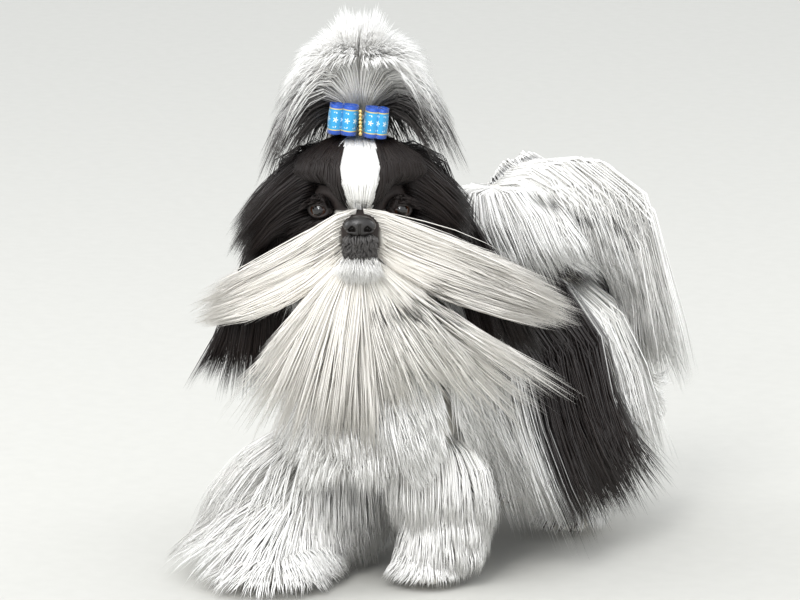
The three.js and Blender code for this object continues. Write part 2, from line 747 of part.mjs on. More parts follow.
const onFloor = (solid) => solid.subtract(block([-FAR, -FAR, -60], [FAR, FAR, 0]));

function tailFlesh(from, to, swell) {
  const steps = 6;
  const line = [];
  for (let i = 0; i <= steps; i++) line.push(TAIL_LINE.getPoint(lerp(from, to, i / steps)));
  const curve = new THREE.CatmullRomCurve3(line);
  const tube = new THREE.CylinderGeometry(1, 1, 1, 8, steps);
  return solidOf(
    reshape(tube, (n) => {
      const t = n.y + 0.5;
      const at = curve.getPoint(THREE.MathUtils.clamp(t, 0, 1));
      const along = curve.getTangent(THREE.MathUtils.clamp(t, 0, 1));
      const across = V(1, 0, 0);
      const up = across.clone().cross(along).normalize();
      const radius = TAIL_RADIUS * lerp(1, 0.6, lerp(from, to, t)) + swell;
      return at
        .addScaledVector(across, n.x * radius)
        .addScaledVector(up, n.z * radius)
        .addScaledVector(along, t === 0 ? -swell : t === 1 ? swell : 0);
    }),
  );
}

// Toes: four short rounded bulges across the front of a paw.
function toes(foot, swell) {
  return [-1.5, -0.5, 0.5, 1.5].map((k) => {
    const knuckle = foot.to.clone().add(V(k * 8.5, -10, -3));
    const tip = foot.to.clone().add(V(k * 9, -19 + Math.abs(k) * 3, -6));
    return massSolid(mass(knuckle, tip, [8, 7]), swell, 6, 3);
  });
}

const COLOURS = {
  white_coat: { color: 0xe9e8e3, roughness: 0.75, metalness: 0 },
  black_coat: { color: 0x2b2523, roughness: 0.65, metalness: 0 },
  nose_leather: { color: 0x1f1b1a, roughness: 0.45, metalness: 0 },
  eye: { color: 0x1c0f08, roughness: 0.08, metalness: 0 },
  ribbon: { color: 0x2c86cf, roughness: 0.4, metalness: 0 },
  band: { color: 0x1e1c20, roughness: 0.6, metalness: 0 },
  gold: { color: 0xd8b265, roughness: 0.3, metalness: 0.9 },
};

// Every part from the inside out. Each keeps clear of all those before it.
const SIDES = ["left", "right"];
const PARTS = [
  ...SIDES.map((n) => ({ name: `eye_${n}`, colour: "eye", shape: (w) => [eyeBall(SIGN[n], w)] })),
  {
    name: "nose",
    colour: "nose_leather",
    shape: (w) => [noseLeather(w).subtract(union([nostril(1), nostril(-1)]))],
  },
  { name: "band", colour: "band", shape: (w) => [bandRing(w)] },
  { name: "bow_knot", colour: "gold", shape: (w) => [bowKnot(w)] },
  ...SIDES.map((n) => ({
    name: `bow_loops_${n}`,
    colour: "ribbon",
    shape: (w) => [...BOW_LOOPS[n].map((loop) => ribbonLoop(loop, w)), ribbonWaist(SIGN[n], w)],
  })),
  {
    name: "skull",
    colour: "black_coat",
    shape: (w) => [massSolid(SKULL, w, 16, 10), ...SIDES.map((n) => lidRing(SIGN[n])), stem(-14, -6, w)],
    locks: () => [...browLocks(), ...crownCoat()],
  },
  { name: "topknot", colour: "white_coat", shape: (w) => [stem(-1, 14, w)], locks: topknotCoat, core: 0.5 },
  {
    name: "muzzle",
    colour: "nose_leather",
    shape: (w) => [massSolid(MUZZLE, w, 12, 8).subtract(lipGroove())],
  },
  {
    name: "jaw",
    colour: "white_coat",
    shape: (w) => [massSolid(JAW, w, 12, 8)],
    locks: beardCoat,
    core: 0.5,
  },
  ...SIDES.map((n) => ({
    name: `moustache_${n}`,
    colour: "white_coat",
    shape: (w) => [massSolid(lipPad(SIGN[n]), w, 8, 5)],
    locks: () => moustacheCoat(n),
  })),
  { name: "chest", colour: "white_coat", shape: (w) => [trunkPart("chest", w)], locks: chestCoat },
  ...SIDES.map((n) => ({
    name: `side_${n}`,
    colour: n === "left" ? "black_coat" : "white_coat",
    shape: (w) => [trunkPart(`side_${n}`, w)],
    locks: () => [...sideCoat(SIGN[n]), ...shoulderCoat(SIGN[n])],
  })),
  { name: "rump", colour: "white_coat", shape: (w) => [trunkPart("rump", w)], locks: rumpCoat },
  { name: "neck", colour: "white_coat", shape: (w) => [massSolid(NECK, w, 10, 6)], locks: neckCoat },
  ...SIDES.flatMap((n) => [
    {
      name: `fore_paw_${n}`,
      colour: "white_coat",
      shape: (w) => [onFloor(union([massSolid(FORE[n].paw, w, 10, 6), ...toes(FORE[n].paw, w)]))],
    },
    {
      name: `fore_leg_${n}`,
      colour: "white_coat",
      shape: (w) => [massSolid(FORE[n].upper, w, 10, 6), massSolid(FORE[n].lower, w, 10, 6)],
      locks: () => legCoat(FORE[n], SIGN[n], LEG_STYLE[`fore_${n}`]),
    },
    {
      name: `hind_paw_${n}`,
      colour: "white_coat",
      shape: (w) => [onFloor(union([massSolid(HIND[n].paw, w, 10, 6), ...toes(HIND[n].paw, w)]))],
    },
    {
      name: `hind_leg_${n}`,
      colour: "white_coat",
      shape: (w) => [massSolid(HIND[n].upper, w, 10, 6), massSolid(HIND[n].lower, w, 10, 6)],
      locks: () => legCoat(HIND[n], SIGN[n], LEG_STYLE[`hind_${n}`]),
    },
  ]),
  { name: "tail_base", colour: "white_coat", shape: (w) => [tailFlesh(0, 0.45, w)], locks: tailBack },
  { name: "tail_plume", colour: "white_coat", shape: (w) => [tailFlesh(0.455, 1, w)], locks: tailSides },
  ...SIDES.map((n) => ({
    name: `ear_${n}`,
    colour: "black_coat",
    shape: (w) => [earFlap(SIGN[n], w)],
    locks: () => earCoat(n),
  })),
];

const dog = new THREE.Group();
const cutters = [];
const finished = [];
for (const part of PARTS) {
  const locks = part.locks ? part.locks() : [];
  const core = (swell) => (part.core ? [coreOf(locks, part.core, swell)] : []);
  const build = (swell) =>
    union([...part.shape(swell), ...core(swell), ...locks.map((lock) => lockSolid(lock, swell))]);
  const whole = build(0);
  const apart = cutters.length ? whole.subtract(union(cutters)) : whole;
  // Where a sharp bend let a sliver of another part through, that sliver goes too.
  const solid = largest(
    finished.reduce((rest, other) => {
      const touches = rest.intersect(other).volume() > 0;
      return touches ? rest.subtract(other) : rest;
    }, apart),
  );
  finished.push(solid);
  cutters.push(build(GAP));
  const { vertProperties, triVerts } = solid.getMesh();
  const geometry = new THREE.BufferGeometry();
  geometry.setAttribute("position", new THREE.BufferAttribute(vertProperties, 3));
  geometry.setIndex(new THREE.BufferAttribute(triVerts, 1));
  geometry.computeVertexNormals();
  const mesh = new THREE.Mesh(geometry, new THREE.MeshStandardMaterial(COLOURS[part.colour]));
  mesh.name = part.name;
  dog.add(mesh);
}

// The origin is the middle of the whole model's footprint, on the floor.
const middle = new THREE.Box3().setFromObject(dog).getCenter(V(0, 0, 0));
dog.children.forEach((mesh) => mesh.geometry.translate(-middle.x, -middle.y, 0));

export default dog;
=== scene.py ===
"""Looks for a life-size museum model of a long-coated shih tzu in mid stride.

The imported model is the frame. One skin stands for the nodes of flesh, and the coat over it is
made of thin closed tufts that leave the skin, hang and flick out as combed silky hair does.
Sizes below are in millimetres in the model's own layout; place() takes them to the frame.
"""

import math

import bmesh
import bpy
import numpy as np
from mathutils import Matrix, Vector


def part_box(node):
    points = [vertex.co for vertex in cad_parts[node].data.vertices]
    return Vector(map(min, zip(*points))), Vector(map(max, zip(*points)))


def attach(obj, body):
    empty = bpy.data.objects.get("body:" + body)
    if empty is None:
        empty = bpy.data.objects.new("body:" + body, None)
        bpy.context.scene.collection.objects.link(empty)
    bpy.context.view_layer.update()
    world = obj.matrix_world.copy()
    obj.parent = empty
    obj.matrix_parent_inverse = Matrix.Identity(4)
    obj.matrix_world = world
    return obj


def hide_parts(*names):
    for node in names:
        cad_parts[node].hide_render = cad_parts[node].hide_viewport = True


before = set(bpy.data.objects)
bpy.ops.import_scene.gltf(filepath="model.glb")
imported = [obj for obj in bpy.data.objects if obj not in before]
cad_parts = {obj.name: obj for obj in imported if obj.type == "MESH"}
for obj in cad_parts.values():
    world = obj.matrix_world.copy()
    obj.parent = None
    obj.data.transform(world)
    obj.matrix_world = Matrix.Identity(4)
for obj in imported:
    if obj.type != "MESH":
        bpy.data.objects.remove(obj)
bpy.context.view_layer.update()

bl_info = {
    "name": "Shih Tzu Coat and Looks",
    "version": (1, 0, 0),
    "blender": (4, 5, 0),
    "location": "View3D > Sidebar > Shih Tzu",
    "description": "Builds the skin, coat, face and bow of a shih tzu around its packed solids",
    "category": "Object",
}

MM = 0.001
SEED = 11
DENSITY = 1.0  # share of the tufts that are grown
HAIR_FLOOR = 2.0  # no hair's line comes nearer the floor than this
TIP_FLOOR = 2.5  # combed hair is laid to end at least this far above it, and its middle higher
TIP_RISE = 1.5
GATHER_BATCH = 2000  # lines compared with their leaders at a time
VOXEL = 2.7  # grain of the joined skin
AIR_STRENGTH = 1.5

# ---- Layout of the body, as in the solids ----
HEAD_AT = np.array([6.0, -75.0, 327.0])
HEAD_TURN = math.radians(33)
FRONT_Y = -25
REAR_Y = 205
STANCE = 50
RIB_Z = 186
EYE_APART = 32.5
EYE_RADIUS = 9.5
EYE_ASIDE = 16  # degrees by which each eye looks outwards
LID_ASIDE = 22
LID_THICK = 2.6
BAND_AT = (0, -16, 70)
BAND_RADIUS = 9.6
BAND_THREAD = 0.9
NOSE_AT = (0, -67, -9)
NOSE_DEEP = 8.0  # half of the leather's depth and of its height
NOSE_HIGH = 9.2
TAIL_RADIUS = 9
SIGN = {"left": 1, "right": -1}
SIDES = ("left", "right")
FORE_FOOT_Y = {"left": -34, "right": -112}
HIND_FOOT_Y = {"left": 196, "right": 262}

TURN = np.array(
    [
        [math.cos(HEAD_TURN), -math.sin(HEAD_TURN), 0],
        [math.sin(HEAD_TURN), math.cos(HEAD_TURN), 0],
        [0, 0, 1],
    ]
)


def vec(*xyz):
    """Numbers or arrays as one array of points."""
    return np.stack(np.broadcast_arrays(*[np.asarray(c, float) for c in xyz]), axis=-1)


def unit(a):
    return a / np.maximum(np.linalg.norm(a, axis=-1, keepdims=True), 1e-9)


def lerp(a, b, t):
    return a + (b - a) * t


def smooth(low, high, x):
    t = np.clip((x - low) / (high - low), 0, 1)
    return t * t * (3 - 2 * t)


def on_head(x, y, z):
    return vec(x, y, z) @ TURN.T + HEAD_AT


def head_way(x, y, z):
    return unit(vec(x, y, z) @ TURN.T)


def in_head(p):
    """Points of the layout in the head's own frame."""
    return (p - HEAD_AT) @ TURN


def bearing(degrees, rise=0.0):
    """0 looks back along the body, 90 to its left and 180 ahead."""
    a = np.radians(degrees)
    return vec(np.sin(a), np.cos(a), rise)


def head_bearing(degrees, rise=0.0):
    return unit(bearing(degrees, rise) @ TURN.T)


eye_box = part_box("eye_left")
SHIFT = (np.array(eye_box[0]) + np.array(eye_box[1])) / 2 / MM - on_head(EYE_APART, -34, 0)


def place(p):
    """Points of the layout, in millimetres, in the frame in metres."""
    return (np.asarray(p, float) + SHIFT) * MM


# ---- Flesh: rounded masses, each stretched from one middle to another ----
def mass(start, end, radii, squash=(1, 1, 1)):
    return (np.asarray(start, float), np.asarray(end, float), radii, np.asarray(squash, float))


RIBS = mass((0, FRONT_Y, RIB_Z), (0, 110, RIB_Z), (56, 58))
LOIN = mass((0, 100, RIB_Z + 2), (0, REAR_Y, RIB_Z + 6), (57, 54))
FORECHEST = mass((0, -58, 172), (0, -30, 205), (36, 44))
NECK = mass((0, -24, 246), on_head(0, 20, -16), (41, 36))
SKULL = mass(on_head(0, 0, 8), on_head(0, 0, 8), (49, 49), (1, 1, 0.94))
MUZZLE = mass(on_head(0, -34, -13), on_head(0, -50, -13), (24, 19), (1.1, 1, 0.86))
JAW = mass(on_head(0, -26, -31), on_head(0, -48, -31), (20, 15), (1.05, 1, 0.7))
TRUNK = [RIBS, LOIN]


def lip_pad(s):
    return mass(on_head(s * 18, -45, -21), on_head(s * 23, -39, -25), (13, 13))


def fore_leg(name):
    s, foot = SIGN[name], FORE_FOOT_Y[name]
    wrist = np.array([s * STANCE, lerp(FRONT_Y, foot, 0.72), 46])
    elbow = (s * (STANCE - 2), FRONT_Y + 6, 104)
    return {
        "upper": mass((s * 40, FRONT_Y - 8, 150), elbow, (30, 22)),
        "lower": mass(elbow, wrist, (21, 17)),
        "paw": mass(wrist + (0, -2, -18), (s * (STANCE + 2), foot - 6, 15), (16, 19), (1.15, 1.15, 0.9)),
    }


def hind_leg(name):
    s, foot = SIGN[name], HIND_FOOT_Y[name]
    knee = (s * STANCE, lerp(REAR_Y, foot, 0.3) - 18, 108)
    hock = np.array([s * STANCE, lerp(REAR_Y, foot, 0.8) + 22, 56])
    return {
        "upper": mass((s * 36, REAR_Y - 8, 168), knee, (40, 27)),
        "lower": mass(knee, hock, (24, 16)),
        "paw": mass(hock + (0, -8, -22), (s * (STANCE + 2), foot - 4, 15), (16, 19), (1.15, 1.15, 0.9)),
    }


FORE = {n: fore_leg(n) for n in SIDES}
HIND = {n: hind_leg(n) for n in SIDES}

TAIL_KNOTS = np.array(
    [[0, 224, 214], [2, 256, 244], [6, 256, 280], [10, 222, 311], [12, 170, 318], [12, 122, 306]], float
)


def tail_line(t):
    """A smooth line through the tail's knots, t from 0 at the rump to 1 at the tip."""
    t = np.clip(np.asarray(t, float), 0, 1) * (len(TAIL_KNOTS) - 1)
    i = np.minimum(t.astype(int), len(TAIL_KNOTS) - 2)
    f = (t - i)[..., None]
    before = TAIL_KNOTS[np.maximum(i - 1, 0)]
    a, b = TAIL_KNOTS[i], TAIL_KNOTS[i + 1]
    after = TAIL_KNOTS[np.minimum(i + 2, len(TAIL_KNOTS) - 1)]
    return 0.5 * (
        2 * a + (b - before) * f + (2 * before - 5 * a + 4 * b - after) * f**2
        + (3 * a - before - 3 * b + after) * f**3
    )


TAIL = [
    mass(tail_line(i / 5), tail_line((i + 1) / 5), (TAIL_RADIUS, TAIL_RADIUS)) for i in range(5)
]
LIMBS = [m for n in SIDES for leg in (FORE[n], HIND[n]) for m in leg.values()]
FLESH = [RIBS, LOIN, FORECHEST, NECK, SKULL, MUZZLE, JAW, *TAIL, *LIMBS]
BLEND = 10.0


def outside(p, masses):
    """How far points lie outside each mass, nearly, and the way out of each."""
    a = np.array([m[0] for m in masses])
    along = np.array([m[1] for m in masses]) - a
    radii = np.array([m[2] for m in masses], float)
    squash = np.array([m[3] for m in masses])
    reach = np.maximum((along**2).sum(1), 1e-9)
    q = p[:, None, :] - a[None]
    t = np.clip((q * along).sum(2) / reach, 0, 1)
    off = (q - t[..., None] * along) / squash
    size = np.maximum(np.linalg.norm(off, axis=2), 1e-9)
    least = squash.min(1)
    distance = (size - lerp(radii[:, 0], radii[:, 1], t)) * least
    return distance, off / squash / size[..., None] * least[:, None]


def clear_of(p):
    """How far points lie outside the flesh, smoothly joined, and the way out of it."""
    distance, ways = outside(p, FLESH)
    low = distance.min(1, keepdims=True)
    weight = np.exp(-(distance - low) / BLEND)
    total = weight.sum(1, keepdims=True)
    way = (ways * (weight / total)[..., None]).sum(1)
    return (low - BLEND * np.log(total))[:, 0], unit(way)


def surface_from(origin, way, masses):
    """The points where rays from inside some masses come out of them."""
    p, w = np.broadcast_arrays(np.asarray(origin, float), np.asarray(way, float))
    p, w = p.copy(), unit(w)
    for _ in range(30):
        d = outside(p, masses)[0].min(1)
        step = np.where(d > -0.2, 0, np.maximum(-d * 0.8, 0.5))
        p += w * step[:, None]
    return p


# ---- Tufts ----
def scatter(rng, rows, columns):
    """Even but unruly places: u from -1 to 1 across and v from 0 to 1 down."""
    keep = math.sqrt(DENSITY)
    rows, columns = max(2, round(rows * keep)), max(2, round(columns * keep))
    c, r = np.meshgrid(np.arange(columns), np.arange(rows))
    u = (c + rng.random(c.shape)) / columns * 2 - 1
    v = (r + rng.random(r.shape)) / rows
    return u.ravel(), v.ravel()


def comb(root, lead, hang, flick, length, lie, sink, steps):
    """Lines that leave the skin, hang and flick out, kept clear of the flesh by `lie`."""
    p = root.copy()
    out = clear_of(p)[1]
    points, outs = [p - out * sink], [out]
    for i in range(1, steps + 1):
        t = (i - 0.5) / steps
        way = lerp(lead, hang, t * 2) if t < 0.5 else lerp(hang, flick, t * 2 - 1)
        way = unit(way)
        p = p + way * (length / steps)[:, None]
        clear = min(1.0, 2.0 * i / steps) * lerp(lie[0], lie[1], i / steps)
        for _ in range(2):
            d, out = clear_of(p)
            p = p + out * np.maximum(clear - d, 0)[:, None]
        p[:, 2] = np.maximum(p[:, 2], TIP_FLOOR + (steps - i) * TIP_RISE)
        out = unit(out - way * (out * way).sum(1, keepdims=True))
        points.append(p.copy())
        outs.append(out)
    return np.stack(points, 1), np.stack(outs, 1)


def gather(points, u, v, groups, pull, rng, wave=0.0, start=0.1):
    """Draws neighbouring lines together towards their tips, as locks of hair lie."""
    count, rings, _ = points.shape
    groups = max(2, min(count, round(groups * DENSITY)))
    leaders = rng.choice(count, groups, replace=False)
    at = np.stack([u, v * 2], 1)
    nearest = np.empty(count, int)
    for k in range(0, count, GATHER_BATCH):
        gap = ((at[k : k + GATHER_BATCH, None] - at[leaders][None]) ** 2).sum(2)
        nearest[k : k + GATHER_BATCH] = gap.argmin(1)
    t = np.linspace(0, 1, rings)
    strength = pull * smooth(start, 1.0, t)
    points = points + strength[None, :, None] * (points[leaders[nearest]] - points)
    if wave:
        phase = rng.random(groups)[nearest] * 2 * math.pi
        turns = 0.8 + 0.6 * rng.random(groups)[nearest]
        size = wave * (0.4 + rng.random(groups)[nearest])
        sway = np.sin(phase[:, None] + turns[:, None] * 2 * math.pi * t) * size[:, None] * t
        level = unit(rng.normal(size=(groups, 3)))[nearest]
        points = points + sway[..., None] * level[:, None, :]
    return points


def as_array(value, u, v):
    value = value(u, v) if callable(value) else value
    return np.asarray(value, float)


def grow(seed, rows, columns, *, root, lead, hang, flick, length, lie, width, mark,
         steps=5, sink=2.0, depth=6.0, locks=60, strands=8, pull=(0.6, 0.55), wave=3.0,
         loose=0.06, warm=0.0, short=0.3):
    """One field of tufts. Values are constants or functions of u and v."""
    rng = np.random.default_rng(SEED + seed)
    u, v = scatter(rng, rows, columns)
    count = len(u)
    deep = rng.random(count)

    def spread(way):
        return unit(np.broadcast_to(as_array(way, u, v), (count, 3)))

    stray = rng.normal(size=(count, 3)) * loose
    near, tip = lie(u, v) if callable(lie) else lie
    low = np.broadcast_to(np.asarray(near, float), (count,)) + depth * deep * 0.6
    high = np.broadcast_to(np.asarray(tip, float), (count,)) + depth * deep
    size = np.broadcast_to(as_array(length, u, v), (count,)) * (1 + rng.uniform(-short, 0.06, count))
    points, outs = comb(
        np.broadcast_to(as_array(root, u, v), (count, 3)).copy(),
        unit(spread(lead) + stray), unit(spread(hang) + stray), unit(spread(flick) + stray * 2.5),
        size, (low, high), sink, steps,
    )
    points = gather(points, u, v, count / DENSITY / locks, pull[0], rng, wave)
    points = gather(points, u, v, count / DENSITY / strands, pull[1], rng, wave * 0.3)
    points[..., 2] = np.maximum(points[..., 2], HAIR_FLOOR)
    broad = width * rng.uniform(0.7, 1.25, count)
    shade = np.broadcast_to(as_array(mark, u, v), (count,))
    return dress(points, outs, broad, shade, rng, warm)


def dress(points, outs, broad, shade, rng, warm=0.0):
    """What a piece of coat needs to know of its lines."""
    count, rings, _ = points.shape
    shade = np.asarray(shade, float)
    if shade.ndim == 1:
        shade = np.repeat(shade[:, None], rings, 1)
    return {
        "points": points,
        "outs": outs,
        "width": broad,
        "mark": shade,
        "tone": rng.random(count),
        "warm": np.broadcast_to(np.asarray(warm, float), (count,)),
        "roll": rng.normal(size=count) * 0.25,
    }


def guided(seed, rows, columns, guide, *, width, mark, steps=5, sink=2.0, depth=6.0, lie=(1.5, 4.0),
           locks=60, strands=8, pull=(0.55, 0.5), wave=2.5, short=0.35, loose=0.03, warm=0.0):
    """One field of tufts that follow curves of four points, given as functions of u and v."""
    rng = np.random.default_rng(SEED + seed)
    u, v = scatter(rng, rows, columns)
    count = len(u)
    a, b, c, d = [np.broadcast_to(g, (count, 3)) for g in guide(u, v)]
    t = np.linspace(0, 1, steps + 1)[None, :, None] * (1 - short * rng.random(count) ** 1.5)[:, None, None]
    points = (
        (1 - t) ** 3 * a[:, None] + 3 * t * (1 - t) ** 2 * b[:, None]
        + 3 * t**2 * (1 - t) * c[:, None] + t**3 * d[:, None]
    )
    reach = np.linalg.norm(d - a, axis=1)[:, None, None]
    points = points + rng.normal(size=(count, 1, 3)) * loose * reach * t
    points = gather(points, u, v, count / DENSITY / locks, pull[0], rng, wave)
    points = gather(points, u, v, count / DENSITY / strands, pull[1], rng, wave * 0.3)
    near, tip = [np.broadcast_to(np.asarray(x, float), (count,)) for x in lie]
    lift = depth * rng.random(count)
    outs = np.zeros_like(points)
    for i in range(steps + 1):
        share = i / steps
        clear = (lerp(near, tip, share) + lift) * min(1.0, 2.5 * share)
        for _ in range(2):
            gap, out = clear_of(points[:, i])
            if i:
                points[:, i] += out * np.maximum(clear - gap, 0)[:, None]
        outs[:, i] = out
    for _ in range(2):
        points[:, 1:-1] = (points[:, :-2] + 2 * points[:, 1:-1] + points[:, 2:]) / 4
    points[:, 0] -= outs[:, 0] * sink
    points[..., 2] = np.maximum(points[..., 2], HAIR_FLOOR)
    shade = np.broadcast_to(as_array(mark, u, v), (count,))
    return dress(points, outs, width * rng.uniform(0.7, 1.25, count), shade, rng, warm)


BLADE_HEIGHT = 0.32  # a tuft's height as a share of half its width


def tuft_share(t):
    """A tuft's width along its length, as a share of its widest."""
    rise = lerp(0.5, 1.0, np.sin(np.pi / 2 * np.minimum(t / 0.35, 1)))
    return rise * (1 - t**2.2) ** 0.8


ATLAS = 8  # the unwrap has this many cells each way, one for each mass of the skin


def unwrap(p):
    """Each mass of the skin is unrolled round its own axis into a cell of the map."""
    distance, _ = outside(p, FLESH)
    k = distance.argmin(1)
    a = np.array([m[0] for m in FLESH])[k]
    b = np.array([m[1] for m in FLESH])[k]
    ball = np.array([max(m[2]) for m in FLESH])[k]
    axis = unit(np.where(np.linalg.norm(b - a, axis=1)[:, None] < 1, [0.0, 0.0, 1.0], b - a))
    side = unit(np.cross(axis, np.where(np.abs(axis[:, 2:]) > 0.9, [0.0, 1.0, 0.0], [0.0, 0.0, 1.0])))
    other = np.cross(axis, side)
    q = p - a
    turn = np.arctan2((q * other).sum(1), (q * side).sum(1)) / (2 * np.pi) + 0.5
    length = np.linalg.norm(b - a, axis=1) + 2 * ball
    along = np.clip(((q * axis).sum(1) + ball) / length, 0, 1)
    cell = np.stack([k % ATLAS, k // ATLAS], 1)
    inside = np.stack([turn, along], 1) * 0.92 + 0.04
    return (cell + inside) / ATLAS


PATCH = 0.003  # a tuft's size on the map


def tuft_arrays(field):
    """Vertices, faces and values of one field: closed three-sided blades that end in a point."""
    points, outs = field["points"], field["outs"]
    count, rings, _ = points.shape
    steps = rings - 1
    t = np.linspace(0, 1, rings)
    run = unit(np.gradient(points, axis=1))
    across = unit(np.cross(run, outs))
    up = np.cross(across, run)
    roll = field["roll"][:, None, None]
    turned = across * np.cos(roll) + up * np.sin(roll)
    high_way = np.cross(turned, run)
    half = field["width"][:, None] / 2 * tuft_share(t)[None]
    high = half * BLADE_HEIGHT
    corners = np.array([[-1.0, -0.5], [1.0, -0.5], [0.0, 1.0]])
    ring = (
        points[:, :steps, None, :]
        + turned[:, :steps, None, :] * (half[:, :steps, None] * corners[None, None, :, 0])[..., None]
        + high_way[:, :steps, None, :] * (high[:, :steps, None] * corners[None, None, :, 1])[..., None]
    )
    verts = np.concatenate([ring.reshape(count, steps * 3, 3), points[:, -1:, :]], 1)
    faces, sizes = [], []
    for j in range(steps - 1):
        for k in range(3):
            n = (k + 1) % 3
            faces += [j * 3 + k, j * 3 + n, j * 3 + 3 + n, j * 3 + 3 + k]
            sizes.append(4)
    last = (steps - 1) * 3
    for k in range(3):
        faces += [last + k, last + (k + 1) % 3, steps * 3]
        sizes.append(3)
    faces += [2, 1, 0]
    sizes.append(3)
    per = steps * 3 + 1
    loops = (np.array(faces)[None] + (np.arange(count) * per)[:, None]).ravel()
    along = np.concatenate([np.repeat(t[:steps], 3), [1.0]])
    level = np.concatenate([np.repeat(np.arange(steps), 3), [steps]])
    lateral = np.concatenate([np.tile([0.0, 1.0, 0.5], steps), [0.5]])
    uv = unwrap(points[:, 0] + outs[:, 0] * 2)[:, None, :] + (
        np.stack([lateral - 0.5, along - 0.5], 1) * PATCH
    )[None]
    return {
        "verts": verts.reshape(-1, 3),
        "loops": loops,
        "sizes": np.tile(sizes, count),
        "uv": uv.reshape(-1, 2),
        "along": np.tile(along, count),
        "mark": field["mark"][:, level].ravel(),
        "tone": np.repeat(field["tone"], per),
        "warm": np.repeat(field["warm"], per),
    }


def new_object(name, mesh, material):
    obj = bpy.data.objects.new(name, mesh)
    bpy.context.scene.collection.objects.link(obj)
    mesh.materials.clear()
    mesh.materials.append(material)
    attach(obj, "root")
    return obj


def coat_piece(name, fields):
    """One closed-tuft mesh from several fields."""
    parts = [tuft_arrays(f) for f in fields]
    base = np.cumsum([0] + [len(p["verts"]) for p in parts[:-1]])
    verts = np.concatenate([p["verts"] for p in parts])
    loops = np.concatenate([p["loops"] + b for p, b in zip(parts, base)])
    sizes = np.concatenate([p["sizes"] for p in parts])
    mesh = bpy.data.meshes.new(name)
    mesh.vertices.add(len(verts))
    mesh.vertices.foreach_set("co", place(verts).astype(np.float32).ravel())
    mesh.loops.add(len(loops))
    mesh.loops.foreach_set("vertex_index", loops.astype(np.int32))
    mesh.polygons.add(len(sizes))
    starts = np.concatenate([[0], np.cumsum(sizes)[:-1]])
    mesh.polygons.foreach_set("loop_start", starts.astype(np.int32))
    mesh.update(calc_edges=True)
    uv = np.concatenate([p["uv"] for p in parts])
    layer = mesh.uv_layers.new(name="OFBake")
    layer.data.foreach_set("uv", uv[loops].astype(np.float32).ravel())
    for key in ("along", "mark", "tone", "warm"):
        put_value(mesh, key, np.concatenate([p[key] for p in parts]))
    mesh.shade_smooth()
    return new_object(name, mesh, material("coat"))


# ---- Markings, the same on skin and coat: 0 is white and 1 is black ----
def ragged(p, size=14.0):
    """A gentle unevenness along the edge of a marking."""
    return (
        np.sin(p[:, 0] / size * 2.1 + 1.3) + np.sin(p[:, 1] / size * 1.7)
        + np.sin(p[:, 2] / size * 2.3 + 0.7)
    ) / 3


def body_mark(p):
    """Black saddle on the left from the shoulder to the flank, and a smaller one on the right."""
    edge = ragged(p) * 9 + ragged(p, 5.0) * 7
    y = p[:, 1] + edge + (p[:, 2] - RIB_Z) * 0.45  # both edges slant back as they come down
    left = smooth(46, 70, y) * (1 - smooth(186, 212, y)) * smooth(-16, -4, p[:, 0] + edge * 0.5)
    right = smooth(92, 112, y) * (1 - smooth(150, 176, y)) * smooth(8, 24, -p[:, 0] + edge * 0.4)
    return np.maximum(left, right) * smooth(262, 252, p[:, 2])


def skin_mark(p):
    q = in_head(p)
    near_head = smooth(26, 14, outside(p, [SKULL])[0][:, 0]) * smooth(-50, -30, q[:, 2])
    blaze = smooth(11, 7, np.abs(q[:, 0])) * smooth(-8, -18, q[:, 1]) * smooth(-12, -4, q[:, 2])
    white_muzzle = smooth(8, 14, np.abs(q[:, 0])) * smooth(-38, -44, q[:, 1]) * (q[:, 2] < 0)
    nose_fur = smooth(-44, -50, q[:, 1]) * smooth(20, 15, np.abs(q[:, 0])) * smooth(-52, -46, q[:, 2])
    head = np.clip(near_head * (1 - blaze) * (1 - white_muzzle), 0, 1)
    return np.maximum.reduce([body_mark(p) * (p[:, 2] > 100), head, nose_fur * (q[:, 2] < 10)])


# ---- Materials ----
def srgb(code):
    """An sRGB hex colour as linear numbers."""
    channels = [int(code[i : i + 2], 16) / 255 for i in (1, 3, 5)]
    return tuple(c / 12.92 if c <= 0.04045 else ((c + 0.055) / 1.055) ** 2.4 for c in channels) + (1.0,)


def add(tree, kind, sockets=None, **settings):
    """One node with its settings; each socket takes a value or another node's output."""
    made = tree.nodes.new(kind)
    for key, value in settings.items():
        setattr(made, key, value)
    for key, value in (sockets or {}).items():
        if isinstance(value, bpy.types.NodeSocket):
            tree.links.new(value, made.inputs[key])
        else:
            made.inputs[key].default_value = value
    return made


def blank(name):
    mat = bpy.data.materials.new(name)
    mat.use_nodes = True
    tree = mat.node_tree
    tree.nodes.clear()
    return mat, tree


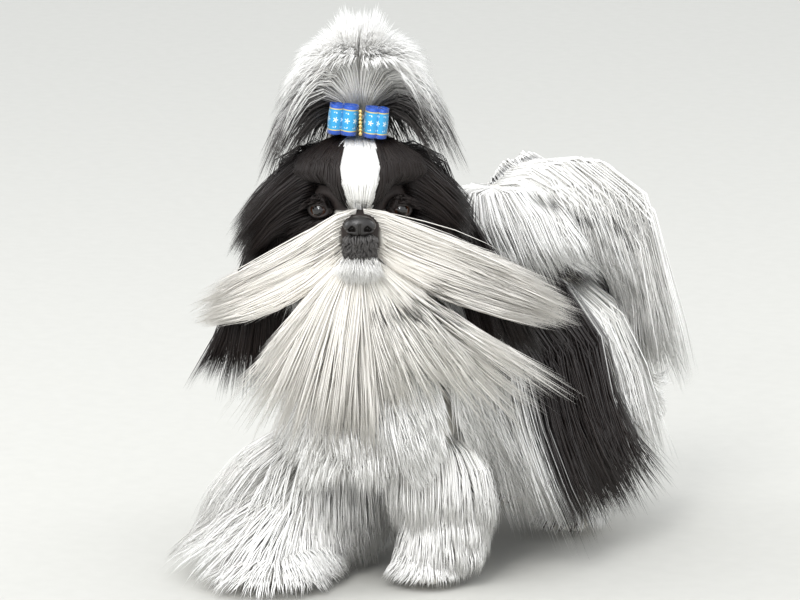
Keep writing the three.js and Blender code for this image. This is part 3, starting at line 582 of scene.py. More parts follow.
def make_coat():
    """Silky hair: each tuft catches a soft line of light along its length.

    White hair is creamier and greyer at the root, black hair is a warm brown-black that
    lightens towards the tip, and no two tufts have quite the same tone.
    """
    mat, tree = blank("silky_hair")
    mark = add(tree, "ShaderNodeAttribute", attribute_name="mark").outputs["Fac"]
    along = add(tree, "ShaderNodeAttribute", attribute_name="along").outputs["Fac"]
    tone = add(tree, "ShaderNodeAttribute", attribute_name="tone").outputs["Fac"]
    warm = add(tree, "ShaderNodeAttribute", attribute_name="warm").outputs["Fac"]
    pale = add(
        tree, "ShaderNodeMix", {0: along, 6: srgb("#f4f2ec"), 7: srgb("#fdfcfa")},
        data_type="RGBA",
    ).outputs[2]
    pale = add(tree, "ShaderNodeMix", {0: tone, 6: pale, 7: srgb("#fbfaf7")}, data_type="RGBA").outputs[2]
    pale = add(tree, "ShaderNodeMix", {0: warm, 6: pale, 7: srgb("#cdb894")}, data_type="RGBA").outputs[2]
    dark = add(
        tree, "ShaderNodeMix", {0: along, 6: srgb("#0c0908"), 7: srgb("#2e2420")},
        data_type="RGBA",
    ).outputs[2]
    dark = add(tree, "ShaderNodeMix", {0: tone, 6: dark, 7: srgb("#1d1614")}, data_type="RGBA").outputs[2]
    colour = add(tree, "ShaderNodeMix", {0: mark, 6: pale, 7: dark}, data_type="RGBA").outputs[2]
    shader = add(
        tree,
        "ShaderNodeBsdfPrincipled",
        {
            "Base Color": colour, "Roughness": 0.45, "IOR": 1.55, "Specular IOR Level": 0.3,
            "Sheen Weight": 0.03, "Sheen Roughness": 0.4,
        },
    )
    add(tree, "ShaderNodeOutputMaterial", {"Surface": shader.outputs[0]})
    return mat


def make_skin():
    """Skin under the coat: fine short hair, so it is soft and finely streaked, not bare."""
    mat, tree = blank("short_fur_skin")
    mark = add(tree, "ShaderNodeAttribute", attribute_name="mark").outputs["Fac"]
    place_at = add(tree, "ShaderNodeTexCoord").outputs["Object"]
    # Streaks about 1 mm across and 5 mm long, as short hairs lie down the body.
    lying = add(tree, "ShaderNodeMapping", {"Vector": place_at, "Scale": (1000.0, 1000.0, 200.0)})
    streaks = add(tree, "ShaderNodeTexNoise", {"Vector": lying.outputs[0], "Scale": 1.0, "Detail": 3.0})
    pale = add(
        tree, "ShaderNodeMix", {0: streaks.outputs["Fac"], 6: srgb("#d8d3c8"), 7: srgb("#f0ede6")},
        data_type="RGBA",
    ).outputs[2]
    dark = add(
        tree, "ShaderNodeMix", {0: streaks.outputs["Fac"], 6: srgb("#120e0d"), 7: srgb("#362c28")},
        data_type="RGBA",
    ).outputs[2]
    colour = add(tree, "ShaderNodeMix", {0: mark, 6: pale, 7: dark}, data_type="RGBA").outputs[2]
    bump = add(
        tree, "ShaderNodeBump",
        {"Height": streaks.outputs["Fac"], "Strength": 0.7, "Distance": 0.0006},
    )
    shader = add(
        tree,
        "ShaderNodeBsdfPrincipled",
        {"Base Color": colour, "Roughness": 0.7, "IOR": 1.45, "Normal": bump.outputs[0]},
    )
    add(tree, "ShaderNodeOutputMaterial", {"Surface": shader.outputs[0]})
    return mat


def make_nose():
    """Nose leather: moist, near black and pebbled in cells about 1 mm across."""
    mat, tree = blank("nose_leather")
    place_at = add(tree, "ShaderNodeTexCoord").outputs["Object"]
    cells = add(tree, "ShaderNodeTexVoronoi", {"Vector": place_at, "Scale": 900.0}, feature="F1")
    wear = add(tree, "ShaderNodeTexNoise", {"Vector": place_at, "Scale": 150.0, "Detail": 2.0})
    colour = add(
        tree, "ShaderNodeMix", {0: wear.outputs["Fac"], 6: srgb("#0f0d0c"), 7: srgb("#221e1b")},
        data_type="RGBA",
    ).outputs[2]
    bump = add(
        tree, "ShaderNodeBump",
        {"Height": cells.outputs["Distance"], "Strength": 0.5, "Distance": 0.0004},
    )
    shader = add(
        tree,
        "ShaderNodeBsdfPrincipled",
        {
            "Base Color": colour, "Roughness": 0.38, "IOR": 1.45, "Coat Weight": 0.35,
            "Coat Roughness": 0.2, "Normal": bump.outputs[0],
        },
    )
    add(tree, "ShaderNodeOutputMaterial", {"Surface": shader.outputs[0]})
    return mat


def make_eye():
    """Eye: a wet clear front over a dark brown iris and black pupil, so the light shows as a
    small sharp spot. The `ring` value runs from 0 at the pupil's middle outwards."""
    mat, tree = blank("eye_cornea")
    ring = add(tree, "ShaderNodeAttribute", attribute_name="ring").outputs["Fac"]
    ramp = add(tree, "ShaderNodeValToRGB", {"Fac": ring})
    stops = ramp.color_ramp.elements
    stops[0].position, stops[0].color = 0.30, srgb("#050303")
    stops[1].position, stops[1].color = 0.36, srgb("#3b2012")
    for position, code in ((0.62, "#24120a"), (0.68, "#0b0706"), (0.82, "#3a2f2b")):
        stops.new(position).color = srgb(code)
    shader = add(
        tree,
        "ShaderNodeBsdfPrincipled",
        {
            "Base Color": ramp.outputs[0], "Roughness": 0.12, "IOR": 1.38, "Coat Weight": 1.0,
            "Coat Roughness": 0.02,
        },
    )
    add(tree, "ShaderNodeOutputMaterial", {"Surface": shader.outputs[0]})
    return mat


def make_lid():
    """Lid rims: smooth, dark, slightly moist skin."""
    mat, tree = blank("lid_rim_skin")
    place_at = add(tree, "ShaderNodeTexCoord").outputs["Object"]
    folds = add(tree, "ShaderNodeTexNoise", {"Vector": place_at, "Scale": 700.0, "Detail": 2.0})
    colour = add(
        tree, "ShaderNodeMix", {0: folds.outputs["Fac"], 6: srgb("#0f0b0a"), 7: srgb("#2a211e")},
        data_type="RGBA",
    ).outputs[2]
    bump = add(
        tree, "ShaderNodeBump",
        {"Height": folds.outputs["Fac"], "Strength": 0.4, "Distance": 0.0003},
    )
    shader = add(
        tree, "ShaderNodeBsdfPrincipled",
        {"Base Color": colour, "Roughness": 0.4, "IOR": 1.45, "Normal": bump.outputs[0]},
    )
    add(tree, "ShaderNodeOutputMaterial", {"Surface": shader.outputs[0]})
    return mat


def make_ribbon():
    """Satin ribbon: azure face, deep blue edges and thin gold lines along both, with a row of
    small pale sprigs. Satin gives a broad soft shine across the weave."""
    mat, tree = blank("satin_ribbon")
    uv = add(tree, "ShaderNodeUVMap", uv_map="weave").outputs[0]
    split = add(tree, "ShaderNodeSeparateXYZ", {0: uv})
    across = split.outputs["Y"]
    from_edge = add(tree, "ShaderNodeMath", {0: across, 1: 0.5}, operation="SUBTRACT")
    from_edge = add(tree, "ShaderNodeMath", {0: from_edge.outputs[0]}, operation="ABSOLUTE")
    bands = add(tree, "ShaderNodeValToRGB", {"Fac": from_edge.outputs[0]})
    bands.color_ramp.interpolation = "CONSTANT"
    stops = bands.color_ramp.elements
    stops[0].position, stops[0].color = 0.0, srgb("#2f9fd6")
    stops[1].position, stops[1].color = 0.33, srgb("#d9c46a")
    stops.new(0.365).color = srgb("#1b55bd")
    # Sprigs: small flowers of five petals, one every 7 mm along the ribbon.
    cell = add(tree, "ShaderNodeMapping", {"Vector": uv, "Scale": (1.0, 3.4, 1.0)})
    cut = add(tree, "ShaderNodeVectorMath", {0: cell.outputs[0]}, operation="FRACTION")
    middle = add(
        tree, "ShaderNodeVectorMath", {0: cut.outputs[0], 1: (0.5, 0.7, 0.0)}, operation="SUBTRACT")
    parts = add(tree, "ShaderNodeSeparateXYZ", {0: middle.outputs[0]})
    angle = add(tree, "ShaderNodeMath", {0: parts.outputs["Y"], 1: parts.outputs["X"]}, operation="ARCTAN2")
    petals = add(tree, "ShaderNodeMath", {0: angle.outputs[0], 1: 5.0}, operation="MULTIPLY")
    petals = add(tree, "ShaderNodeMath", {0: petals.outputs[0]}, operation="COSINE")
    reach = add(tree, "ShaderNodeMath", {0: petals.outputs[0], 1: 0.12, 2: 0.22}, operation="MULTIPLY_ADD")
    far = add(tree, "ShaderNodeVectorMath", {0: middle.outputs[0]}, operation="LENGTH")
    sprig = add(
        tree, "ShaderNodeMath", {0: far.outputs["Value"], 1: reach.outputs[0]}, operation="LESS_THAN")
    inner = add(tree, "ShaderNodeMath", {0: from_edge.outputs[0], 1: 0.26}, operation="LESS_THAN")
    shown = add(tree, "ShaderNodeMath", {0: sprig.outputs[0], 1: inner.outputs[0]}, operation="MULTIPLY")
    colour = add(
        tree, "ShaderNodeMix", {0: shown.outputs[0], 6: bands.outputs[0], 7: srgb("#dff0f6")},
        data_type="RGBA",
    ).outputs[2]
    # Threads about 0.1 mm apart, too fine to be seen singly, which soften the shine.
    threads = add(
        tree, "ShaderNodeTexWave", {"Vector": uv, "Scale": 22.0, "Distortion": 0.4},
        bands_direction="X",
    )
    bump = add(
        tree, "ShaderNodeBump",
        {"Height": threads.outputs["Fac"], "Strength": 0.25, "Distance": 0.0002},
    )
    shader = add(
        tree, "ShaderNodeBsdfPrincipled",
        {
            "Base Color": colour, "Roughness": 0.34, "IOR": 1.5, "Sheen Weight": 0.3,
            "Normal": bump.outputs[0],
        },
    )
    add(tree, "ShaderNodeOutputMaterial", {"Surface": shader.outputs[0]})
    return mat


def make_gilt():
    """Polished gilt brass with small cast beads: sharp warm glints."""
    mat, tree = blank("gilt_brass")
    place_at = add(tree, "ShaderNodeTexCoord").outputs["Object"]
    wear = add(tree, "ShaderNodeTexNoise", {"Vector": place_at, "Scale": 600.0, "Detail": 2.0})
    colour = add(
        tree, "ShaderNodeMix", {0: wear.outputs["Fac"], 6: srgb("#c79a4a"), 7: srgb("#f0d9a0")},
        data_type="RGBA",
    ).outputs[2]
    shader = add(
        tree, "ShaderNodeBsdfPrincipled",
        {"Base Color": colour, "Metallic": 1.0, "Roughness": 0.22},
    )
    add(tree, "ShaderNodeOutputMaterial", {"Surface": shader.outputs[0]})
    return mat


def make_rubber():
    """Latex band: dark and matt, with a faint grain."""
    mat, tree = blank("latex_band")
    place_at = add(tree, "ShaderNodeTexCoord").outputs["Object"]
    grain = add(tree, "ShaderNodeTexNoise", {"Vector": place_at, "Scale": 900.0, "Detail": 2.0})
    colour = add(
        tree, "ShaderNodeMix", {0: grain.outputs["Fac"], 6: srgb("#17151a"), 7: srgb("#2c2830")},
        data_type="RGBA",
    ).outputs[2]
    bump = add(
        tree, "ShaderNodeBump",
        {"Height": grain.outputs["Fac"], "Strength": 0.3, "Distance": 0.0002},
    )
    shader = add(
        tree, "ShaderNodeBsdfPrincipled",
        {"Base Color": colour, "Roughness": 0.6, "IOR": 1.52, "Normal": bump.outputs[0]},
    )
    add(tree, "ShaderNodeOutputMaterial", {"Surface": shader.outputs[0]})
    return mat


def make_horn():
    """Claw horn: dark, smooth and faintly ridged along its length."""
    mat, tree = blank("claw_horn")
    place_at = add(tree, "ShaderNodeTexCoord").outputs["Object"]
    ridges = add(tree, "ShaderNodeTexNoise", {"Vector": place_at, "Scale": 400.0, "Detail": 2.0})
    colour = add(
        tree, "ShaderNodeMix", {0: ridges.outputs["Fac"], 6: srgb("#231d19"), 7: srgb("#564a40")},
        data_type="RGBA",
    ).outputs[2]
    shader = add(
        tree, "ShaderNodeBsdfPrincipled", {"Base Color": colour, "Roughness": 0.35, "IOR": 1.54}
    )
    add(tree, "ShaderNodeOutputMaterial", {"Surface": shader.outputs[0]})
    return mat


def make_paper():
    """Seamless paper under and behind the model: pale and quite matt."""
    mat, tree = blank("studio_paper")
    place_at = add(tree, "ShaderNodeTexCoord").outputs["Object"]
    tooth = add(tree, "ShaderNodeTexNoise", {"Vector": place_at, "Scale": 60.0, "Detail": 3.0})
    colour = add(
        tree, "ShaderNodeMix", {0: tooth.outputs["Fac"], 6: srgb("#bdbcb6"), 7: srgb("#c4c3bd")},
        data_type="RGBA",
    ).outputs[2]
    shader = add(tree, "ShaderNodeBsdfPrincipled", {"Base Color": colour, "Roughness": 0.9})
    add(tree, "ShaderNodeOutputMaterial", {"Surface": shader.outputs[0]})
    return mat


MAKERS = {
    "coat": make_coat, "skin": make_skin, "nose": make_nose, "eye": make_eye, "lid": make_lid,
    "ribbon": make_ribbon, "gilt": make_gilt, "rubber": make_rubber, "horn": make_horn,
    "paper": make_paper,
}
made_materials = {}


def material(key):
    if key not in made_materials:
        made_materials[key] = MAKERS[key]()
    return made_materials[key]


# ---- Helpers for modelled pieces ----
def mesh_of(bm, name):
    mesh = bpy.data.meshes.new(name)
    bm.to_mesh(mesh)
    bm.free()
    return mesh


def baked(obj):
    """The object's mesh with its modifiers applied and removed."""
    dg = bpy.context.evaluated_depsgraph_get()
    mesh = bpy.data.meshes.new_from_object(obj.evaluated_get(dg))
    obj.modifiers.clear()
    old = obj.data
    obj.data = mesh
    bpy.data.meshes.remove(old)
    return obj


def coordinates(mesh):
    co = np.zeros(len(mesh.vertices) * 3, np.float32)
    mesh.vertices.foreach_get("co", co)
    return co.reshape(-1, 3).astype(float)


def set_coordinates(mesh, co):
    mesh.vertices.foreach_set("co", co.astype(np.float32).ravel())
    mesh.update()


def put_value(mesh, name, values):
    layer = mesh.attributes.new(name, "FLOAT", "POINT")
    layer.data.foreach_set("value", np.asarray(values, np.float32))


def add_mass(bm, m, swell=0.0, detail=3):
    """A mass as a ball drawn out along its line."""
    made = bmesh.ops.create_icosphere(bm, subdivisions=detail, radius=1.0)["verts"]
    start, end, radii, squash = m
    along = end - start
    axis = Vector(along).normalized() if np.linalg.norm(along) > 0.01 else Vector((0, 0, 1))
    turn = Vector((0, 1, 0)).rotation_difference(axis)
    for v in made:
        n = v.co.copy()
        share = float(smooth(-0.45, 0.45, n.y))
        radius = lerp(radii[0], radii[1], share) + swell
        off = turn @ n
        spot = start + along * share + np.array(off) * radius * squash
        v.co = Vector(spot)


EAR_HALF_WIDTH = 21
EAR_HALF_HEIGHT = 36
EAR_THICK = 2.6
EAR_CUP = 6
EAR_AT = (53, 8, 2)


def ear_point(s, across, down, through):
    """A place on a drop ear's flap: across and down run from -1 to 1 over it."""
    x = EAR_AT[0] + 9 * down + EAR_CUP * (1 - across * across) + through
    y = EAR_AT[1] + across * EAR_HALF_WIDTH * (1 - 0.25 * down)
    return on_head(s * x, y, EAR_AT[2] - down * EAR_HALF_HEIGHT)


def add_ear(bm, s):
    for v in bmesh.ops.create_icosphere(bm, subdivisions=3, radius=1.0)["verts"]:
        n = v.co.copy()
        v.co = Vector(ear_point(s, n.y * s, -n.z, n.x * EAR_THICK))


def toe_masses(paw):
    return [
        mass(paw[1] + (k * 8.5, -10, -3), paw[1] + (k * 9, -19 + abs(k) * 3, -6), (8, 7))
        for k in (-1.5, -0.5, 0.5, 1.5)
    ]


# ---- Pieces ----
FLESH_NODES = [
    "skull", "muzzle", "jaw", "neck", "chest", "rump", "tail_base", "tail_plume", "topknot",
    *[f"{part}_{n}" for n in SIDES for part in (
        "moustache", "side", "fore_leg", "fore_paw", "hind_leg", "hind_paw", "ear")],
]


def build_skin(depth):
    """One closed skin over all the flesh, with sockets, lids' folds, lips and toes."""
    bm = bmesh.new()
    for m in FLESH:
        add_mass(bm, m, -depth)
    for s in (1, -1):
        add_mass(bm, lip_pad(s), -depth * 0.5)
        add_ear(bm, s)
    for n in SIDES:
        for leg in (FORE[n], HIND[n]):
            for toe in toe_masses(leg["paw"]):
                add_mass(bm, toe, -depth * 0.4, 2)
    add_mass(bm, mass(on_head(0, -10, 48), on_head(*BAND_AT), (16, 8)))
    mesh = mesh_of(bm, "skin")
    obj = new_object("skin", mesh, material("skin"))
    remesh = obj.modifiers.new("one_skin", "REMESH")
    remesh.mode = "VOXEL"
    remesh.voxel_size = VOXEL
    relax = obj.modifiers.new("relax", "SMOOTH")
    relax.factor = 0.5
    relax.iterations = 6
    baked(obj)
    co = coordinates(obj.data)
    q = in_head(co)
    # Sockets: the skin sinks round each eye. The mouth's line runs round the muzzle, and a
    # groove runs down the upper lip from the nose.
    for s in (1, -1):
        gap = np.linalg.norm(q - (s * EYE_APART, -42, 0), axis=1)
        q[:, 1] += 6.5 * smooth(15, 6, gap) * (q[:, 1] < -15)
        q[:, 1] -= 2.2 * smooth(6, 0, np.abs(gap - 15)) * (q[:, 1] < -15)
    front = smooth(-40, -50, q[:, 1])
    mouth_z = -39.5 - 0.010 * q[:, 0] ** 2
    q[:, 1] += 4.0 * front * smooth(2.6, 0.4, np.abs(q[:, 2] - mouth_z)) * (np.abs(q[:, 0]) < 22)
    q[:, 1] += 2.4 * front * smooth(2.4, 0.2, np.abs(q[:, 0])) * (q[:, 2] < -16) * (q[:, 2] > -40)
    co = q @ TURN.T + HEAD_AT
    co[:, 2] = np.maximum(co[:, 2], 0.6)
    put_value(obj.data, "mark", skin_mark(co))
    set_coordinates(obj.data, place(co))
    obj.data.shade_smooth()
    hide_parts(*FLESH_NODES)


def turned_aside(co, degrees):
    """Points turned about the upright, as the eyes look a little outwards."""
    c, d = math.cos(math.radians(degrees)), math.sin(math.radians(degrees))
    return np.stack([co[:, 0] * c - co[:, 1] * d, co[:, 0] * d + co[:, 1] * c, co[:, 2]], 1)


def build_eyes():
    for name in SIDES:
        s = SIGN[name]
        bm = bmesh.new()
        bmesh.ops.create_uvsphere(bm, u_segments=40, v_segments=28, radius=EYE_RADIUS)
        # The ball's pole looks forward, and the cornea stands a little proud of it.
        bmesh.ops.rotate(bm, verts=bm.verts, matrix=Matrix.Rotation(math.radians(90), 3, "X"))
        mesh = mesh_of(bm, f"eyeball_{name}")
        co = coordinates(mesh)
        ahead = -co[:, 1] / EYE_RADIUS
        ring = np.arccos(np.clip(ahead, -1, 1)) / (math.pi / 2)
        co[:, 1] -= 0.9 * smooth(0.60, 0.0, ring)
        put_value(mesh, "ring", np.clip(ring, 0, 1))
        co = turned_aside(co, s * EYE_ASIDE)
        set_coordinates(mesh, place(co @ TURN.T + on_head(s * EYE_APART, -34, 0)))
        mesh.shade_smooth()
        obj = new_object(f"eyeball_{name}", mesh, material("eye"))
        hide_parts(f"eye_{name}")
        build_lids(name)


def build_lids(name):
    """Upper and lower rims as one soft ring that follows the eye's almond opening."""
    s = SIGN[name]
    bm = bmesh.new()
    ring = bmesh.ops.create_circle(bm, cap_ends=False, segments=12, radius=LID_THICK)["verts"]
    bmesh.ops.rotate(bm, verts=ring, matrix=Matrix.Rotation(math.radians(90), 3, "X"))
    bmesh.ops.translate(bm, verts=ring, vec=(EYE_RADIUS * 0.84, 0, 0))
    bmesh.ops.spin(
        bm, geom=bm.verts[:] + bm.edges[:], cent=(0, 0, 0), axis=(0, 0, 1),
        angle=math.tau, steps=40, use_merge=True,
    )
    bmesh.ops.remove_doubles(bm, verts=bm.verts, dist=1e-4)
    bmesh.ops.recalc_face_normals(bm, faces=bm.faces)
    mesh = mesh_of(bm, f"lids_{name}")
    co = coordinates(mesh)
    # Stood up to face forward, narrower than it is wide, and thicker above.
    x, z = co[:, 0] * 1.06, co[:, 1] * 0.66
    y = -co[:, 2] + (x / 10) ** 2 * 2.2
    upper = smooth(0, 8, z)
    co = np.stack([x, y - 1.6 * upper, z - 0.6 * upper], 1)
    co = turned_aside(co, s * LID_ASIDE)
    set_coordinates(mesh, place(co @ TURN.T + on_head(s * (EYE_APART + 1.4), -40.0, 0)))
    mesh.shade_smooth()
    new_object(f"lids_{name}", mesh, material("lid"))


def build_nose(width):
    """A broad leather with comma-shaped nostrils and a groove down its middle."""
    bm = bmesh.new()
    bmesh.ops.create_icosphere(bm, subdivisions=5, radius=1.0)
    mesh = mesh_of(bm, "nose_pad")
    n = coordinates(mesh)
    taper = 1 - 0.24 * np.maximum(0, -n[:, 2])
    x = n[:, 0] * width / 2 * taper
    y = n[:, 1] * NOSE_DEEP
    z = n[:, 2] * NOSE_HIGH
    # Flatter in front, with a rounded top.
    y = np.where(y < 0, -NOSE_DEEP * (1 - (1 + y / NOSE_DEEP) ** 1.25), y)
    for s in (1, -1):
        hole = np.sqrt(((x - s * 6.3) / 3.3) ** 2 + ((z + 0.6 + 0.5 * np.abs(x - s * 6.3)) / 2.6) ** 2)
        y += 6.0 * smooth(1.15, 0.35, hole) * (n[:, 1] < 0)
        slit = np.sqrt(((x - s * 9.6) / 3.0) ** 2 + ((z + 2.6) / 1.3) ** 2)
        y += 2.6 * smooth(1.2, 0.3, slit) * (n[:, 1] < 0)
    y += 1.6 * smooth(1.5, 0.1, np.abs(x)) * (n[:, 1] < 0) * (z < 3)
    co = np.stack([x, y, z], 1) @ TURN.T + on_head(*NOSE_AT)
    set_coordinates(mesh, place(co))
    mesh.shade_smooth()
    obj = new_object("nose_pad", mesh, material("nose"))
    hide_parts("nose")


RIBBON = 25.0  # its width
RIBBON_THICK = 0.7
SPRIG_EVERY = 7.0
LOOP_DEEP = 7.5
LOOP_TILT = math.radians(6)
BOW_AT = (0.5, -36, 74)
BOW_LOOPS = {"left": ((9.5, 6.4), (17.5, 4.6)), "right": ((-9.2, 6.6), (-20.6, 5.8))}


def build_loop(name, x, half, number):
    """A ribbon loop stood on edge: an oval strip with a little waviness and real thickness."""
    bm = bmesh.new()
    bmesh.ops.create_circle(bm, cap_ends=False, segments=40, radius=1.0)
    rows = 8
    edges = bm.edges[:]
    for _ in range(rows):
        made = bmesh.ops.extrude_edge_only(bm, edges=edges)["geom"]
        up = [g for g in made if isinstance(g, bmesh.types.BMVert)]
        bmesh.ops.translate(bm, verts=up, vec=(0, 0, 1.0 / rows))
        edges = [g for g in made if isinstance(g, bmesh.types.BMEdge)]
    bmesh.ops.recalc_face_normals(bm, faces=bm.faces)
    weave = bm.loops.layers.uv.new("weave")
    for face in bm.faces:
        turns = [math.atan2(l.vert.co.y, l.vert.co.x) / math.tau % 1.0 for l in face.loops]
        if max(turns) - min(turns) > 0.5:
            turns = [t + 1.0 if t < 0.5 else t for t in turns]
        for l, t in zip(face.loops, turns):
            l[weave].uv = (t * (half + LOOP_DEEP) * math.pi / SPRIG_EVERY, l.vert.co.z)
    mesh = mesh_of(bm, f"bow_ribbon_{name}_{number}")
    co = coordinates(mesh)
    turn = np.arctan2(co[:, 1], co[:, 0])
    high = co[:, 2] - 0.5
    swell = 1 + 0.05 * np.sin(turn * 3 + number) + 0.05 * np.cos(high * 6)
    co = np.stack([np.cos(turn) * half * swell, np.sin(turn) * LOOP_DEEP * swell, high * RIBBON], 1)
    c, d = math.cos(LOOP_TILT), math.sin(LOOP_TILT)
    co = np.stack([co[:, 0] * c + co[:, 2] * d, co[:, 1], -co[:, 0] * d + co[:, 2] * c], 1)
    co += (BOW_AT[0] + x, BOW_AT[1], BOW_AT[2] - x * 0.1)
    set_coordinates(mesh, place(co @ TURN.T + HEAD_AT))
    obj = new_object(f"bow_ribbon_{name}_{number}", mesh, material("ribbon"))
    thick = obj.modifiers.new("thickness", "SOLIDIFY")
    thick.thickness = RIBBON_THICK * MM
    thick.offset = 0.0
    baked(obj)
    obj.data.shade_smooth()
    return obj


def build_bow():
    for name in SIDES:
        for number, (x, half) in enumerate(BOW_LOOPS[name]):
            obj = build_loop(name, x, half, number)
            if number == 0:
                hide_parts(f"bow_loops_{name}")
    bm = bmesh.new()
    # A small gilt bar with beads, which nips the loops together.
    for k in range(7):
        ball = bmesh.ops.create_icosphere(bm, subdivisions=3, radius=1.9)["verts"]
        bmesh.ops.translate(bm, verts=ball, vec=(0, 0, (k - 3) * 3.1))
    bar = bmesh.ops.create_cone(
        bm, cap_ends=True, segments=20, radius1=1.5, radius2=1.5, depth=22
    )["verts"]
    bmesh.ops.translate(bm, verts=bar, vec=(0, 0.8, 0))
    mesh = mesh_of(bm, "bow_bead_bar")
    co = coordinates(mesh) + (BOW_AT[0], BOW_AT[1] - LOOP_DEEP + 1.2, BOW_AT[2] - 0.5)
    set_coordinates(mesh, place(co @ TURN.T + HEAD_AT))
    mesh.shade_smooth()
    obj = new_object("bow_bead_bar", mesh, material("gilt"))
    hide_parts("bow_knot")


def build_band():
    """Several turns of a thin latex band round the hair's stem."""
    bm = bmesh.new()
    for k in (-1.5, -0.5, 0.5, 1.5):
        ring = bmesh.ops.create_circle(bm, cap_ends=False, segments=10, radius=BAND_THREAD)["verts"]
        bmesh.ops.rotate(bm, verts=ring, matrix=Matrix.Rotation(math.radians(90), 3, "X"))
        bmesh.ops.translate(bm, verts=ring, vec=(BAND_RADIUS + 0.3 * abs(k), 0, k * 1.25))
        edges = [e for e in bm.edges if all(v in set(ring) for v in e.verts)]
        bmesh.ops.spin(
            bm, geom=ring + edges, cent=(0, 0, 0), axis=(0.06 * k, 0.04, 1),
            angle=math.tau, steps=40, use_merge=True,
        )
    bmesh.ops.remove_doubles(bm, verts=bm.verts, dist=1e-3)
    bmesh.ops.recalc_face_normals(bm, faces=bm.faces)
    mesh = mesh_of(bm, "band_turns")
    co = coordinates(mesh) + np.array(BAND_AT, float)
    set_coordinates(mesh, place(co @ TURN.T + HEAD_AT))
    mesh.shade_smooth()
    obj = new_object("band_turns", mesh, material("rubber"))
    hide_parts("band")


CLAW_LEAN = math.radians(118)
CLAW_FLOOR = 4.4  # the least height of a claw's middle


def build_claws():
    bm = bmesh.new()
    for n in SIDES:
        for leg in (FORE[n], HIND[n]):
            for toe in toe_masses(leg["paw"]):
                claw = bmesh.ops.create_cone(
                    bm, cap_ends=True, segments=10, radius1=2.4, radius2=0.7, depth=10
                )["verts"]
                bmesh.ops.rotate(bm, verts=claw, matrix=Matrix.Rotation(CLAW_LEAN, 3, "X"))
                spot = toe[1] + (0, -8.5, -0.5)
                bmesh.ops.translate(bm, verts=claw, vec=(spot[0], spot[1], max(spot[2], CLAW_FLOOR)))
    mesh = mesh_of(bm, "claws")
    set_coordinates(mesh, place(coordinates(mesh)))
    mesh.shade_smooth()
    new_object("claws", mesh, material("horn"))


# ---- The coat, field by field. s is 1 on the dog's left and -1 on its right ----
def side_field(s, width):
    def root(u, v):
        turn = np.radians(lerp(2, 104, v))
        origin = vec(0, lerp(-40, 170, (u + 1) / 2), RIB_Z)
        return surface_from(origin, vec(s * np.sin(turn), 0, np.cos(turn)), TRUNK)

    return grow(
        100 + s, 42, 72,
        root=root,
        lead=lambda u, v: vec(s * lerp(1, 0.3, v), 0, lerp(-0.1, -1, v)),
        hang=lambda u, v: vec(s * 0.24, 0.06 + 0.06 * u, -1),
        flick=lambda u, v: vec(s * 0.36, 0.24 + 0.1 * u, -0.85),
        length=lambda u, v: lerp(286, 158, v) * lerp(0.5, 1, smooth(-0.85, -0.35, u)),
        lie=(3, 6), depth=5, width=width, wave=5, short=0.35, pull=(0.4, 0.3), loose=0.04,
        mark=lambda u, v: body_mark(root(u, v)),
    )


def back_field(width):
    """Hair along the spine, which lies back and parts to both sides."""
    def root(u, v):
        return surface_from(vec(0, lerp(-36, 190, v), RIB_Z), vec(u * 0.4, 0, 1), TRUNK)

    return grow(
        110, 40, 18,
        root=root,
        lead=lambda u, v: vec(u * 0.8, 0.7, 0),
        hang=lambda u, v: vec(u * 0.8, 0.45, -0.4),
        flick=lambda u, v: vec(u * 0.6, 0.3, -0.8),
        length=72, lie=(2, 5), depth=4, width=width, wave=3, short=0.35, pull=(0.3, 0.3), loose=0.05,
        mark=lambda u, v: body_mark(root(u, v)), steps=4,
    )


def rump_field(width):
    return grow(
        120, 42, 70,
        root=lambda u, v: surface_from(
            (0, REAR_Y - 14, RIB_Z), bearing(u * 104, lerp(0.8, -0.7, v)), TRUNK),
        lead=lambda u, v: bearing(u * 100, -0.6 - v),
        hang=lambda u, v: bearing(u * 100) * (0.24, 0.24, 0) + (0, 0, -1),
        flick=lambda u, v: bearing(u * 80) * (0.34, 0.34, 0) + (0, 0, -1),
        length=lambda u, v: lerp(205, 120, v),
        lie=(4, 7), depth=5, width=width, wave=5, short=0.35, mark=0.0, steps=4, pull=(0.4, 0.3),
        loose=0.04,
    )


def chest_field(width):
    return grow(
        130, 42, 64,
        root=lambda u, v: surface_from(
            (0, -42, 192), bearing(180 - u * 84, lerp(0.5, -1.2, v)), [RIBS, FORECHEST]),
        lead=lambda u, v: bearing(180 - u * 76, -0.8 - v * 0.6),
        hang=lambda u, v: bearing(180 - u * 76) * (0.42, 0.3, 0) + (0, 0, -1),
        flick=lambda u, v: bearing(180 - u * 90) * (0.6, 0.4, 0) + (0, 0, -1),
        length=lambda u, v: lerp(104, 78, v),
        lie=(4, 8), depth=5, width=width, wave=4, short=0.45, mark=0.0, pull=(0.4, 0.3), loose=0.05,
    )


def neck_field(width):
    def root(u, v):
        start = NECK[1] + (NECK[0] - NECK[1]) * lerp(0.0, 0.85, v)[:, None]
        return surface_from(start, bearing(u * 180, 0.2), [NECK])

    return grow(
        140, 34, 66,
        root=root,
        lead=lambda u, v: bearing(u * 180, -0.9),
        hang=lambda u, v: bearing(u * 180) * (0.4, 0.4, 0) + (0, 0.1, -1),
        flick=lambda u, v: bearing(u * 180) * (0.5, 0.5, 0) + (0, 0.15, -1),
        length=lambda u, v: lerp(88, 108, v),
        lie=lambda u, v: (5, lerp(9, 22, v)), depth=5, width=width, wave=4, steps=4, pull=(0.4, 0.3),
        mark=lambda u, v: smooth(0.35, 0.2, v) * smooth(0.75, 0.6, np.abs(u)),
    )


